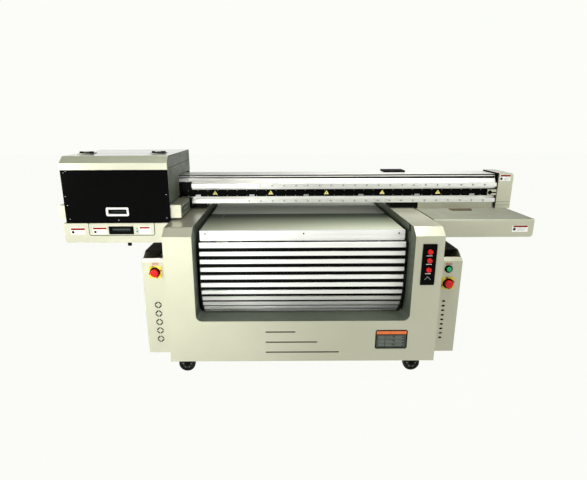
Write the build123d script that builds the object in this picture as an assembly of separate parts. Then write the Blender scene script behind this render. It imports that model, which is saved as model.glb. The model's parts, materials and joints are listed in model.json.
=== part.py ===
from build123d import *
import math
import os

# Flatbed ultraviolet printer: fixed table, travelling gantry, travelling head carriage.
# X runs to the right, Y runs to the back, Z runs up. Millimetres.

os.makedirs("parts", exist_ok=True)

# ---------------- driving sizes ----------------
BASE_W = 1194.0           # across the two arms of the body
BASE_D = 1100.0           # front panel to rear panel
ARM_TOP = 722.0           # floor to the tops of the arms
ARM_W = 124.0
ARM_BEND = 32.0           # rise of an arm's sloped front edge
ARM_SLOPE = 45.0          # depth of that slope
PANEL_BOTTOM = 105.0      # floor to the body's lower edge
SHEET = 2.0               # folded sheet steel
SILL_Z = 302.0            # floor to the sill of the front opening
RECESS_R = 28.0
SILL_D = 105.0
SLIT_STEP = 50.0
SLIT_H = 6.0
SLIT_LEFT = -166.0
SLIT_ENDS = (-32.0, 67.0, 166.0)

CAB_GAP = 2.0             # cabinet to the body's side
CAB_W = 119.0
CAB_FRONT = 85.0
CAB_TOP = 588.0
CAB_BEND = 36.0
CAB_SLOPE = 60.0
COVER_T = 3.0             # black rail covers
SLOT_W = 24.0

TABLE_GAP = 16.0          # table edge to the arm
TABLE_FRONT = 105.0
TABLE_D = 700.0
TABLE_EDGE_H = 36.0
TABLE_PLATE_T = 14.0
TABLE_DOWN = 60.0         # travel below the resting height
TABLE_UP = 30.0           # travel above it
COLUMN_X = 300.0
COLUMN_YS = (230.0, 700.0)
COLUMN_R = 30.0
ROD_R = 20.0

SLAT_COUNT = 11
SLAT_STRAIGHT = 6
SLAT_PITCH = 37.0
SLAT_H = 19.5
SLAT_T = 7.0
FIRST_SLAT_MORE = 5.5     # the top slat is taller than the rest
SLAT_FRONT = 88.0
SLAT_BENDS = (8.0, 17.0, 26.0, 35.0, 40.0)

FRAME_T = 40.0            # square frame tube
FRAME_WALL = 3.0
POST_INSET = 51.0         # body's side to the centres of the side tubes
FRAME_X = BASE_W / 2 - POST_INSET
BED_W = 80.0
BED_TOP = 500.0
RAIL_W = 20.0
RAIL_H = 17.5
BLOCK_L = 77.0
BLOCK_H = 30.0            # rail foot to block face
BLOCK_W = 40.0
SCREW_R = 8.0
SCREW_LEAD = 25.0
GANTRY_FRONT_TRAVEL = 170.0
GANTRY_BACK_TRAVEL = 420.0

BEAM_GAP = 30.0           # arm top to the beam's underside
BEAM_H = 142.0
BEAM_FRONT = 456.0
BEAM_D = 150.0
BEAM_WALL = 6.0
RAIL_LOW = 12.0           # lower rail centre above the beam's underside
RAIL_HIGH = 91.0          # upper rail centre above it
TRACK_LOW = 34.0
TRACK_HIGH = 70.0
TRACK_T = 4.0

HOUSE_GAP = 2.0           # housing side to the arm's side
HOUSE_W = 478.0
HOUSE_FRONT = 180.0
HOUSE_D = 500.0
HOUSE_RISE = 290.0        # arm top to housing top
HOOD_BEVEL_H = 29.0
HOOD_BEVEL_D = 40.0
HOOD_BAND = 30.0
WINDOW_T = 4.0
HINGE_Y = 380.0
HINGE_UP = 5.0
HINGE_R = 5.0
HINGE_PIN_R = 2.0
HINGE_L = 66.0
HINGE_INSETS = (44.0, 85.0)
COVER_OPEN = 80.0         # degrees
HANDLE_W = 103.0
HANDLE_H = 40.0
HANDLE_UP = 52.0          # window's lower edge to the handle's centre

TRAY_L_W = 493.0
TRAY_L_H = 92.0
TRAY_L_DROP = 12.0        # arm top to the tray's rim
TRAY_R_W = 462.0
TRAY_R_H = 84.0
TRAY_R_GAP = 10.0
CAP_W = 76.0
CAP_RISE = 180.0

BAR_W = 559.0             # lamp to lamp
BAR_FRONT = 190.0
BAR_BACK = 414.0
BAR_LOW = 10.0            # arm top to the lamps' underside
BAR_H = 60.0
BAR_RIGHT_OUT = 48.0      # lamp end beyond the housing's right side
LAMP_W = 100.0
HEAD_COUNT = 3
CARRIAGE_TRAVEL = 1450.0

WHEEL_R = 39.0
WHEEL_W = 24.0
AXLE_R = 4.0
TRAIL = 18.0
KING_R = 6.0
CASTER_YS = (100.0, BASE_D - 100.0)
PLATE_W = 84.0

ESTOP_HEAD_R = 18.0
ESTOP_STEM_R = 8.0
ESTOP_STROKE = 4.0
RED_R = 11.0
RED_STROKE = 3.0
GREEN_R = 11.0
GREEN_BEZEL_R = 17.5

RUN = 0.05                # radial running clearance
GAP = 0.3                 # clearance between pieces that slide past each other

# ---------------- derived levels ----------------
HALF = BASE_W / 2
INNER = HALF - ARM_W
TABLE_HALF = INNER - TABLE_GAP
BEND_Z = ARM_TOP - ARM_BEND
TABLE_TOP = BEND_Z
BEAM_Z = ARM_TOP + BEAM_GAP
BEAM_TOP = BEAM_Z + BEAM_H
BEAM_BACK = BEAM_FRONT + BEAM_D
HOUSE_TOP = ARM_TOP + HOUSE_RISE
HOUSE_BACK = HOUSE_FRONT + HOUSE_D
HOUSE_X1 = -(HALF + HOUSE_GAP)
HOUSE_X0 = HOUSE_X1 - HOUSE_W
WINDOW_Z0 = ARM_TOP - 10.0
WINDOW_Z1 = HOUSE_TOP - HOOD_BEVEL_H - HOOD_BAND
BAR_X1 = HOUSE_X1 + BAR_RIGHT_OUT
BAR_X0 = BAR_X1 - BAR_W
BAR_Z0 = ARM_TOP + BAR_LOW
BAR_Z1 = BAR_Z0 + BAR_H
NOTCH_Z = BAR_Z1 + 8.0
LOBE_Z = BEAM_TOP + 6.0
TRAY_R_X0 = HALF + TRAY_R_GAP
TRAY_R_X1 = TRAY_R_X0 + TRAY_R_W
CAP_X1 = TRAY_R_X1 + 15.0
CAP_X0 = CAP_X1 - CAP_W
CAB_X0 = HALF + CAB_GAP
CAB_X1 = CAB_X0 + CAB_W
CAB_X = (CAB_X0 + CAB_X1) / 2 + 1.5
RAIL_X = CAB_X - 15.0
SCREW_X = CAB_X + 26.0
SCREW_Z = BED_TOP + 16.0
FRAME_Z = PANEL_BOTTOM + 7.0
UPPER_Z = BED_TOP - 60.0
LEG_Y0 = BEAM_FRONT + 5.0
LEG_Y1 = BEAM_BACK - 5.0
HINGE_Z = HOUSE_TOP + HINGE_UP
HINGE_XS = (HOUSE_X0 + HINGE_INSETS[0], HOUSE_X1 - HINGE_INSETS[1])
HANDLE_X = (HOUSE_X0 + HOUSE_X1) / 2
HANDLE_Z = WINDOW_Z0 + HANDLE_UP
ESTOP_SPOTS = {"left": (-CAB_X, 507.0), "right": (CAB_X, 448.0)}
GREEN_SPOT = (CAB_X - 2.0, 515.0)
BUTTON_X = HALF - ARM_W / 2
RED_ZS = (623.0, 585.0, 543.0)
CASTERS = {
    "front_left": (-FRAME_X + TRAIL, CASTER_YS[0], 180.0),
    "front_right": (FRAME_X, CASTER_YS[0], 180.0),
    "rear_left": (-FRAME_X, CASTER_YS[1], 90.0),
    "rear_right": (FRAME_X, CASTER_YS[1], 90.0),
}


# ---------------- helpers ----------------
def box(x0, x1, y0, y1, z0, z1):
    return Pos((x0 + x1) / 2, (y0 + y1) / 2, (z0 + z1) / 2) * Box(x1 - x0, y1 - y0, z1 - z0)


def prism(points, start, end, along):
    """Extrude an outline of (a, b) points from start to end along the X, Y or Z axis."""
    if along == "x":
        corners = [(start, a, b) for a, b in points]
        way = (1, 0, 0)
    elif along == "y":
        corners = [(a, start, b) for a, b in points]
        way = (0, 1, 0)
    else:
        corners = [(a, b, start) for a, b in points]
        way = (0, 0, 1)
    outline = Polyline(*corners, close=True)
    return extrude(make_face(outline.edges()), amount=end - start, dir=way)


def rod(along, a, b, radius, start, end):
    """Cylinder along an axis; a and b are its other two coordinates in X, Y, Z order."""
    middle = (start + end) / 2
    length = end - start
    if along == "x":
        return Pos(middle, a, b) * Rot(0, 90, 0) * Cylinder(radius, length)
    if along == "y":
        return Pos(a, middle, b) * Rot(90, 0, 0) * Cylinder(radius, length)
    return Pos(a, b, middle) * Cylinder(radius, length)


def tube(x0, x1, y0, y1, z0, z1, along):
    """Square tube, open at both ends."""
    w = FRAME_WALL
    outer = box(x0, x1, y0, y1, z0, z1)
    if along == "x":
        return outer - box(x0 - 1, x1 + 1, y0 + w, y1 - w, z0 + w, z1 - w)
    if along == "y":
        return outer - box(x0 + w, x1 - w, y0 - 1, y1 + 1, z0 + w, z1 - w)
    return outer - box(x0 + w, x1 - w, y0 + w, y1 - w, z0 - 1, z1 + 1)


def rounded(shape, axis, radius, test):
    """Fillet the edges parallel to an axis whose centres pass a test."""
    picked = [e for e in shape.edges().filter_by(axis) if test(e.center())]
    return fillet(picked, radius)


def both_sides(shape):
    return [shape, mirror(shape, about=Plane.YZ)]


pieces = {}


def keep(name, *shapes):
    solids = []
    for shape in shapes:
        for item in (shape if isinstance(shape, (list, tuple)) else [shape]):
            solids.extend(item.solids())
    pieces[name] = solids


# ---------------- body ----------------
def front_panel():
    z0 = PANEL_BOTTOM
    face = box(-HALF, HALF, 0, SHEET, z0, BEND_Z)
    opening = box(-INNER, INNER, -5, 20, SILL_Z, BEND_Z + 60)
    opening = rounded(opening, Axis.Y, RECESS_R, lambda c: c.Z < SILL_Z + 1)
    face -= opening
    for row, end in enumerate(SLIT_ENDS):
        z = SILL_Z - 52.0 - row * SLIT_STEP
        slit = box(SLIT_LEFT, end, -5, 20, z - SLIT_H / 2, z + SLIT_H / 2)
        slit = rounded(slit, Axis.Y, SLIT_H / 2 - 0.1, lambda c: True)
        face -= slit
    for z in RED_ZS:
        face -= rod("y", BUTTON_X, z, RED_R + 1.5, -5, 20)
    slope = [(0, BEND_Z), (ARM_SLOPE, ARM_TOP), (CAB_FRONT - SHEET, ARM_TOP),
             (CAB_FRONT - SHEET, ARM_TOP - SHEET), (ARM_SLOPE + 0.6, ARM_TOP - SHEET), (SHEET, BEND_Z - 1)]
    cheek = [(0, z0), (CAB_FRONT - SHEET, z0), (CAB_FRONT - SHEET, ARM_TOP), (ARM_SLOPE, ARM_TOP), (0, BEND_Z)]
    inner_cheek = [(0, BEND_Z - 2), (CAB_FRONT - SHEET, BEND_Z - 2), (CAB_FRONT - SHEET, ARM_TOP),
                   (ARM_SLOPE, ARM_TOP), (0, BEND_Z)]
    panel = face + box(-HALF, HALF, SHEET, 18, z0, z0 + SHEET)
    for side in (-1, 1):
        inner, outer = side * INNER, side * HALF
        panel += prism(slope, min(inner, outer), max(inner, outer), "x")
        panel += prism(cheek, min(outer, outer - side * SHEET), max(outer, outer - side * SHEET), "x")
        edge = inner + side * SHEET
        panel += prism(inner_cheek, min(inner, edge), max(inner, edge), "x")
    return panel


def recess_liner():
    top = BEND_Z - 2.2
    outer = box(-INNER - SHEET, INNER + SHEET, SHEET, SILL_D, SILL_Z - SHEET, top)
    outer = rounded(outer, Axis.Y, RECESS_R + SHEET, lambda c: c.Z < SILL_Z)
    inner = box(-INNER, INNER, 0, SILL_D + 5, SILL_Z, top + 5)
    inner = rounded(inner, Axis.Y, RECESS_R, lambda c: c.Z < SILL_Z + 1)
    return outer - inner


def arm_cover():
    y0, y1 = CAB_FRONT - SHEET, BASE_D - SHEET
    x0, x1 = INNER, HALF
    cover = box(x0, x1, y0, y1, ARM_TOP - SHEET, ARM_TOP)
    cover += box(x0, x0 + SHEET, SILL_D, y1, 540, ARM_TOP - SHEET)
    cover += box(x1 - SHEET, x1, y0, y1, CAB_TOP + 4, ARM_TOP - SHEET)
    return cover


def slat_path():
    """Centre (Y, Z) and lean in degrees of every slat, from the table's edge down and under."""
    y = SLAT_FRONT + SLAT_T / 2
    z = TABLE_TOP - 64.5
    angle = 0.0
    path = []
    for number in range(SLAT_COUNT):
        path.append((y, z, angle))
        turn = number - SLAT_STRAIGHT + 1
        angle = SLAT_BENDS[turn] if 0 <= turn < len(SLAT_BENDS) else angle
        y += SLAT_PITCH * math.sin(math.radians(angle))
        z -= SLAT_PITCH * math.cos(math.radians(angle))
    return path


def front_slats():
    slats = []
    for number, (y, z, angle) in enumerate(slat_path()):
        taller = FIRST_SLAT_MORE if number == 0 else 0.0
        slat = Box(2 * TABLE_HALF + 4, SLAT_T, SLAT_H + taller)
        slat = fillet(slat.edges().filter_by(Axis.X), 1.5)
        slats.append(Pos(0, y, z + taller / 2) * Rot(angle, 0, 0) * slat)
    return slats


def slat_tracks():
    x0 = TABLE_HALF + 2.0
    low = TABLE_TOP - 66.0 - SLAT_PITCH * (SLAT_COUNT - 1)
    outline = [(SLAT_FRONT - 4, TABLE_TOP - 50), (SLAT_FRONT + 60, TABLE_TOP - 50),
               (SLAT_FRONT + 100, low + 40), (SLAT_FRONT + 100, low - 10), (SLAT_FRONT + 50, low - 10),
               (SLAT_FRONT - 4, low + 120)]
    track = prism(outline, x0, x0 + 4, "x")
    back = SLAT_T / 2 + 3.0
    path = slat_path()
    path = [(path[0][0], TABLE_TOP - 52.0, 0.0)] + path[1:]
    near, far = [], []
    for y, z, angle in path:
        lean = math.radians(angle)
        near.append((y + back * math.cos(lean), z + back * math.sin(lean)))
        far.append((y + (back + 1.5) * math.cos(lean), z + (back + 1.5) * math.sin(lean)))
    sheet = prism(near + far[::-1], -x0, x0, "x")
    return sheet + both_sides(track)[0] + both_sides(track)[1]


def base_frame():
    t = FRAME_T
    x0, x1 = FRAME_X - t / 2, FRAME_X + t / 2
    tubes = []
    ys = (20.0, (BASE_D - t) / 2, BASE_D - 60.0)
    for side in (-1, 1):
        a, b = sorted((side * x0, side * x1))
        tubes.append(tube(a, b, 20, BASE_D - 20, FRAME_Z, FRAME_Z + t, "y"))
        tubes.append(tube(a, b, 20, BASE_D - 20, UPPER_Z, UPPER_Z + t, "y"))
        for y in ys:
            tubes.append(tube(a, b, y, y + t, FRAME_Z + t, UPPER_Z, "z"))
        for y in (140.0, BASE_D - 60.0):
            tubes.append(tube(a, b, y, y + t, UPPER_Z + t, ARM_TOP - SHEET, "z"))
        near, far = side * x1, side * (CAB_X - BED_W / 2)
        a, b = sorted((near, far))
        for y in (150.0, (BASE_D - t) / 2, BASE_D - 130.0):
            tubes.append(tube(a, b, y, y + t, UPPER_Z, UPPER_Z + t, "x"))
    for y in (20.0, COLUMN_YS[0] - t / 2, COLUMN_YS[1] - t / 2, BASE_D - 60.0):
        tubes.append(tube(-x0, x0, y, y + t, FRAME_Z, FRAME_Z + t, "x"))
    tubes.append(tube(-x0, x0, BASE_D - 60.0, BASE_D - 60.0 + t, UPPER_Z, UPPER_Z + t, "x"))
    return tubes


def floor_pan():
    return box(-HALF + 14, HALF - 14, 20, BASE_D - 20, FRAME_Z - 3, FRAME_Z)


def rear_panel():
    panel = box(-HALF, HALF, BASE_D - SHEET, BASE_D, PANEL_BOTTOM, ARM_TOP)
    for row in range(8):
        z = 240.0 + row * 22.0
        panel -= box(-320, -120, BASE_D - 10, BASE_D + 10, z, z + 8)
    deck_y0 = TABLE_FRONT + TABLE_D + 8.0
    deck = box(-INNER + 2, INNER - 2, deck_y0, BASE_D - SHEET, TABLE_TOP - SHEET, TABLE_TOP)
    lip = box(-INNER + 2, INNER - 2, deck_y0, deck_y0 + SHEET, TABLE_TOP - 60, TABLE_TOP - SHEET)
    return [panel, deck + lip]


def side_cabinet(side):
    s = SHEET
    z0 = PANEL_BOTTOM - 1.0
    outline = [(CAB_FRONT, z0), (CAB_FRONT, CAB_TOP - CAB_BEND), (CAB_FRONT + CAB_SLOPE, CAB_TOP),
               (BASE_D, CAB_TOP), (BASE_D, z0)]
    inside = [(CAB_FRONT + s, z0 + s), (CAB_FRONT + s, CAB_TOP - CAB_BEND - 0.8),
              (CAB_FRONT + CAB_SLOPE + 1.5, CAB_TOP + 5), (BASE_D - s, CAB_TOP + 5), (BASE_D - s, z0 + s)]
    shell = prism(outline, CAB_X0, CAB_X1, "x") - prism(inside, CAB_X0 - 5, CAB_X1 - s, "x")
    for spot in ESTOP_SPOTS.values():
        if spot[0] * side > 0:
            shell -= rod("y", CAB_X, spot[1], ESTOP_STEM_R + 2, 60, CAB_FRONT + 10)
    if side > 0:
        shell -= rod("y", GREEN_SPOT[0], GREEN_SPOT[1], GREEN_R + 1.5, 60, CAB_FRONT + 10)
        for row in range(9):
            z = 359.0 - row * 23.0
            slit = Pos(CAB_X - 9, CAB_FRONT, z) * Rot(0, 0, 0) * Box(15, 20, 9)
            slit = fillet(slit.edges().filter_by(Axis.Y), 4.3)
            shell -= slit
        return shell
    for row in range(5):
        z = 346.0 - row * 43.0
        for turn in (45, 135, 225, 315):
            dash = Pos(CAB_X, CAB_FRONT, z) * Rot(0, turn, 0) * Pos(0, 0, 12) * Box(19, 20, 6)
            shell -= fillet(dash.edges().filter_by(Plane.XZ, reverse=True).filter_by(GeomType.LINE), 1.5)
    return mirror(shell, about=Plane.YZ)


def rail_cover():
    y0 = CAB_FRONT + CAB_SLOPE + 2.0
    cover = box(CAB_X0 + 0.5, CAB_X1 - SHEET - 0.5, y0, BASE_D - SHEET - 0.5, CAB_TOP - COVER_T, CAB_TOP)
    slot = box(CAB_X - SLOT_W / 2, CAB_X + SLOT_W / 2, LEG_Y0 - GANTRY_FRONT_TRAVEL - 12,
               LEG_Y1 + GANTRY_BACK_TRAVEL + 12, CAB_TOP - 20, CAB_TOP + 10)
    return cover - slot


def y_rail_bed():
    return tube(CAB_X - BED_W / 2, CAB_X + BED_W / 2, 125, BASE_D - 45, UPPER_Z, BED_TOP, "y")


def y_rail():
    rail = box(RAIL_X - RAIL_W / 2, RAIL_X + RAIL_W / 2, 135, BASE_D - 60, BED_TOP, BED_TOP + RAIL_H)
    return rail


def screw_supports():
    blocks = []
    for y0 in (140.0, BASE_D - 69.0):
        block = box(SCREW_X - 18, SCREW_X + 14, y0, y0 + 22, BED_TOP, BED_TOP + 34)
        blocks.append(block - rod("y", SCREW_X, SCREW_Z, SCREW_R + RUN, y0 - 1, y0 + 23))
    return blocks


def y_motor():
    y0 = BASE_D - 43.0
    motor = box(SCREW_X - 29, SCREW_X + 27, y0, y0 + 30, SCREW_Z - 28, SCREW_Z + 28)
    motor = rounded(motor, Axis.Y, 5, lambda c: True)
    return motor + rod("y", SCREW_X, SCREW_Z, 22, y0 + 30, y0 + 39)


def y_screw():
    screw = rod("y", SCREW_X, SCREW_Z, SCREW_R, 132, BASE_D - 43.5)
    return screw + rod("y", SCREW_X, SCREW_Z, 13, 128, 132)


def caster_mount(x, y):
    base = FRAME_Z - 3
    mount = box(x - PLATE_W / 2, x + PLATE_W / 2, y - PLATE_W / 2, y + PLATE_W / 2, base - 5, base)
    mount = rounded(mount, Axis.Z, 8, lambda c: True)
    mount += rod("z", x, y, 20, base - 9, base - 5)
    return mount + rod("z", x, y, KING_R, base - 23, base - 9)


def caster_fork():
    """Built with the swivel axis on Z and the wheel trailing along +X."""
    top = FRAME_Z - 3 - 9 - GAP
    low = top - 12
    fork = rod("z", 0, 0, 27, low, top)
    outline = [(-20, low + 1), (24, low + 1), (TRAIL + 11, WHEEL_R - 3), (TRAIL + 6, WHEEL_R - 11),
               (TRAIL - 6, WHEEL_R - 11), (TRAIL - 12, WHEEL_R - 3)]
    reach = WHEEL_W / 2 + 2.0
    for y0, y1 in ((reach, reach + 3), (-reach - 3, -reach)):
        fork += prism(outline, y0, y1, "y")
    fork -= rod("z", 0, 0, KING_R + RUN, low - 5, top + 5)
    fork += rod("y", TRAIL, WHEEL_R, AXLE_R, -reach - 4, reach + 4)
    for y0 in (reach + 3, -reach - 6):
        fork += rod("y", TRAIL, WHEEL_R, 7.5, y0, y0 + 3)
    return fork


def caster_wheel():
    wheel = rod("y", TRAIL, WHEEL_R, WHEEL_R, -WHEEL_W / 2, WHEEL_W / 2)
    wheel = fillet(wheel.edges().filter_by(GeomType.CIRCLE), 4)
    for y0, y1 in ((WHEEL_W / 2 - 3, WHEEL_W), (-WHEEL_W, -WHEEL_W / 2 + 3)):
        ring = rod("y", TRAIL, WHEEL_R, WHEEL_R - 11, y0, y1) - rod("y", TRAIL, WHEEL_R, 12, y0, y1)
        wheel -= ring
    return wheel - rod("y", TRAIL, WHEEL_R, AXLE_R + RUN, -WHEEL_W, WHEEL_W)


def lift_columns():
    columns = []
    z0, z1 = FRAME_Z + FRAME_T, TABLE_TOP - TABLE_EDGE_H - 50 - TABLE_DOWN - 6
    for x in (-COLUMN_X, COLUMN_X):
        for y in COLUMN_YS:
            column = rod("z", x, y, COLUMN_R, z0, z1) + box(x - 40, x + 40, y - 40, y + 40, z0, z0 + 8)
            columns.append(column - rod("z", x, y, ROD_R + RUN, z0 + 30, z1 + 5))
    return columns


def vacuum_blower():
    y = BASE_D - 210.0
    z = FRAME_Z + 120.0
    drum = rod("x", y, z, 100, 140, 260)
    motor = rod("x", y, z, 62, 260, 400)
    foot = box(150, 390, y - 50, y + 50, FRAME_Z, FRAME_Z + 30)
    pipe = rod("z", 200, y, 26, z + 60, z + 190)
    return drum + motor + foot + pipe


def electronics_box():
    y0 = COLUMN_YS[1] + 40
    case = box(-430, -90, y0, BASE_D - 90, FRAME_Z, FRAME_Z + 300)
    case = rounded(case, Axis.Z, 6, lambda c: True)
    for row in range(6):
        z = FRAME_Z + 60 + row * 24
        case -= box(-380, -140, y0 - 1, y0 + 6, z, z + 8)
    return case


def ink_bottles():
    bottles = []
    for number in range(4):
        x = -180.0 + 120.0 * number
        bottle = rod("z", x, 460, 46, FRAME_Z, FRAME_Z + 170)
        bottle = fillet(bottle.edges().filter_by(GeomType.CIRCLE).sort_by(Axis.Z)[-1:], 18)
        bottles.append(bottle + rod("z", x, 460, 17, FRAME_Z + 170, FRAME_Z + 200))
    return bottles


def estop_guard(x, z):
    guard = rod("y", x, z, 29, CAB_FRONT - 5, CAB_FRONT)
    for turn in range(4):
        angle = math.radians(45 + 90 * turn)
        lx, lz = x + 27 * math.cos(angle), z + 27 * math.sin(angle)
        guard += rod("y", lx, lz, 9, CAB_FRONT - 7, CAB_FRONT)
    guard += rod("y", x, z, 24, CAB_FRONT - 8, CAB_FRONT - 5)
    return guard - rod("y", x, z, ESTOP_STEM_R + RUN, CAB_FRONT - 20, CAB_FRONT + 5)


def estop_button(x, z):
    front = CAB_FRONT - 25
    head = rod("y", x, z, ESTOP_HEAD_R, front, CAB_FRONT - 8 - ESTOP_STROKE - 1)
    rim = [e for e in head.edges().filter_by(GeomType.CIRCLE) if e.center().Y < front + 1]
    head = fillet(rim, 5)
    return head + rod("y", x, z, ESTOP_STEM_R, CAB_FRONT - 14, CAB_FRONT + 14)


def button_panel():
    plate = box(BUTTON_X - 30, BUTTON_X + 30, -3, 0, 472, 656)
    plate = rounded(plate, Axis.Y, 4, lambda c: True)
    for z in RED_ZS:
        plate += rod("y", BUTTON_X, z, RED_R + 3, -6, -3)
        plate -= rod("y", BUTTON_X, z, RED_R + RUN, -10, 5)
    return plate


def red_button(z):
    head = rod("y", BUTTON_X, z, RED_R, -14, 12)
    rim = [e for e in head.edges().filter_by(GeomType.CIRCLE) if e.center().Y < -13]
    return fillet(rim, 2)


def green_bezel():
    x, z = GREEN_SPOT
    ring = rod("y", x, z, GREEN_BEZEL_R, CAB_FRONT - 4, CAB_FRONT)
    return ring - rod("y", x, z, GREEN_R + RUN, CAB_FRONT - 10, CAB_FRONT + 5)


def green_button():
    x, z = GREEN_SPOT
    head = rod("y", x, z, GREEN_R, CAB_FRONT - 11, CAB_FRONT + 12)
    rim = [e for e in head.edges().filter_by(GeomType.CIRCLE) if e.center().Y < CAB_FRONT - 10]
    return fillet(rim, 2)


# ---------------- table ----------------
def table_plate():
    y0 = TABLE_FRONT + 20
    return box(-TABLE_HALF, TABLE_HALF, y0, TABLE_FRONT + TABLE_D, TABLE_TOP - TABLE_PLATE_T, TABLE_TOP)


def table_front_rail():
    z0 = TABLE_TOP - TABLE_EDGE_H
    rail = box(-TABLE_HALF, TABLE_HALF, TABLE_FRONT, TABLE_FRONT + 20, z0, TABLE_TOP)
    rail -= box(-TABLE_HALF - 1, TABLE_HALF + 1, TABLE_FRONT - 1, TABLE_FRONT + 3, z0 + 15, z0 + 21)
    strip = box(-TABLE_HALF, TABLE_HALF, TABLE_FRONT + 4, TABLE_FRONT + 20, z0 - 11, z0)
    return rail + strip


def table_platform():
    z1 = TABLE_TOP - TABLE_PLATE_T
    z0 = z1 - 36
    y0, y1 = TABLE_FRONT + 20, TABLE_FRONT + TABLE_D - 10
    x = TABLE_HALF - 20
    tray = box(-x, x, y0, y1, z0, z1) - box(-x + 4, x - 4, y0 + 4, y1 - 4, z0 + 4, z1 + 5)
    parts = [tray]
    low = z0 - 36
    for side in (-1, 1):
        cx = side * COLUMN_X
        parts.append(tube(cx - 20, cx + 20, y0 + 20, y1 - 20, low, z0, "y"))
    for y in COLUMN_YS:
        parts.append(tube(-COLUMN_X + 20, COLUMN_X - 20, y - 20, y + 20, low, z0, "x"))
    return parts


def lift_rods():
    low = TABLE_TOP - TABLE_PLATE_T - 72
    rods = []
    for x in (-COLUMN_X, COLUMN_X):
        for y in COLUMN_YS:
            rods.append(rod("z", x, y, ROD_R, 300, low))
    return rods


# ---------------- gantry ----------------
def beam():
    y0, y1, z0, z1 = BEAM_FRONT, BEAM_BACK, BEAM_Z, BEAM_TOP
    w = BEAM_WALL
    outer = [(y0, z0), (y0, z0 + 101), (y0 + 16, z1 - 22), (y0 + 16, z1), (y1, z1), (y1, z0)]
    inner = [(y0 + w, z0 + w), (y0 + w, z0 + 98), (y0 + 16 + w, z1 - 25), (y0 + 16 + w, z1 - w),
             (y1 - w, z1 - w), (y1 - w, z0 + w)]
    body = prism(outer, HOUSE_X0 + 6, CAP_X0 - 1, "x") - prism(inner, HOUSE_X0, CAP_X0 + 5, "x")
    body += box(HOUSE_X0 + 6, CAP_X0 - 1, y0 + w - 1, y1 - w + 1, z0 + 66, z0 + 72)
    return body - box(HOUSE_X0, CAP_X0 + 5, y0 + 10, y0 + 18, z1 - 15, z1 - 11)


def x_rails():
    rails = []
    for up in (RAIL_LOW, RAIL_HIGH):
        z = BEAM_Z + up
        rail = box(HOUSE_X0 + 12, CAP_X0 - 3, BEAM_FRONT - RAIL_H, BEAM_FRONT, z - RAIL_W / 2, z + RAIL_W / 2)
        for notch in (z - RAIL_W / 2, z + RAIL_W / 2):
            rail -= box(HOUSE_X0, CAP_X0, BEAM_FRONT - 11, BEAM_FRONT - 7, notch - 1.5, notch + 1.5)
        rails.append(rail)
    return rails


def magnet_track():
    return box(HOUSE_X0 + 20, CAP_X0 - 4, BEAM_FRONT - TRACK_T, BEAM_FRONT, BEAM_Z + TRACK_LOW, BEAM_Z + TRACK_HIGH)


def gantry_leg():
    saddle = BED_TOP + BLOCK_H
    leg = box(CAB_X - 42, CAB_X + 42, LEG_Y0, LEG_Y1, saddle, saddle + 15)
    leg += box(CAB_X - 7, CAB_X + 7, LEG_Y0, LEG_Y1, saddle + 15, CAB_TOP + 40)
    leg += box(CAB_X - 47, CAB_X + 47, LEG_Y0, LEG_Y1, CAB_TOP + 40, BEAM_Z)
    return leg + box(INNER + 5, CAB_X, LEG_Y0, LEG_Y1, ARM_TOP + 4, BEAM_Z)


def y_bearing_blocks():
    blocks = []
    low = BED_TOP + 4.6
    for y in (LEG_Y0 + BLOCK_L / 2 - 8, LEG_Y1 - BLOCK_L / 2 + 8):
        block = box(RAIL_X - BLOCK_W / 2, RAIL_X + BLOCK_W / 2, y - 32, y + 32, low, BED_TOP + BLOCK_H)
        block -= box(RAIL_X - RAIL_W / 2 - GAP, RAIL_X + RAIL_W / 2 + GAP, y - 50, y + 50, low - 5,
                     BED_TOP + RAIL_H + GAP)
        blocks.append(block)
    return blocks


def ball_nut():
    y = (LEG_Y0 + LEG_Y1) / 2
    nut = box(SCREW_X - 14.5, SCREW_X + 14.5, y - 25, y + 25, BED_TOP + 1, BED_TOP + BLOCK_H)
    return nut - rod("y", SCREW_X, SCREW_Z, SCREW_R + RUN, y - 30, y + 30)


def housing_shell():
    x0, x1, s = HOUSE_X0, HOUSE_X1, SHEET
    y1, top = HOUSE_BACK, HOUSE_TOP
    front = HOUSE_FRONT + WINDOW_T + 3
    rim = [(front, NOTCH_Z), (front, top - HOOD_BEVEL_H - 3), (HOUSE_FRONT + HOOD_BEVEL_D + 2, top - 4),
           (HINGE_Y + 1, top - 4), (HINGE_Y + 1, top - s), (y1, top - s)]
    wall_right = rim + [(y1, LOBE_Z), (BEAM_FRONT - 61, LOBE_Z), (BEAM_FRONT - 61, NOTCH_Z)]
    wall_left = rim + [(y1, BEAM_Z - 7), (BEAM_FRONT - 26, BEAM_Z - 7), (BEAM_FRONT - 26, NOTCH_Z)]
    parts = [prism(wall_right, x1 - s, x1, "x"), prism(wall_left, x0, x0 + s, "x")]
    parts.append(box(x0 + s, x1 - s, y1 - s, y1, BEAM_Z - 7, top - s))
    parts.append(box(x0, x1, HINGE_Y + 2, y1, top - s, top))
    for x in (x0 + 10, x1 - 19):
        parts.append(box(x, x + 4, BEAM_FRONT + 24, BEAM_BACK - 6, BEAM_TOP, top - s))
    for x in (x0 + 60, x1 - 120):
        parts.append(box(x, x + 60, BEAM_BACK, y1 - s, BEAM_Z + 50, BEAM_Z + 110))
    for x in HINGE_XS:
        leaf = box(x - HINGE_L / 2, x + HINGE_L / 2, HINGE_Y + 6, HINGE_Y + 36, top, top + 3)
        for x2, x3 in ((x - HINGE_L / 2, x - 15.5), (x + 15.5, x + HINGE_L / 2)):
            leaf += rod("x", HINGE_Y, HINGE_Z, HINGE_R, x2, x3)
            leaf += box(x2, x3, HINGE_Y, HINGE_Y + 8, top + 0.5, top + 3)
        parts.append(leaf + rod("x", HINGE_Y, HINGE_Z, HINGE_PIN_R, x - HINGE_L / 2, x + HINGE_L / 2))
    return parts


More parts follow.
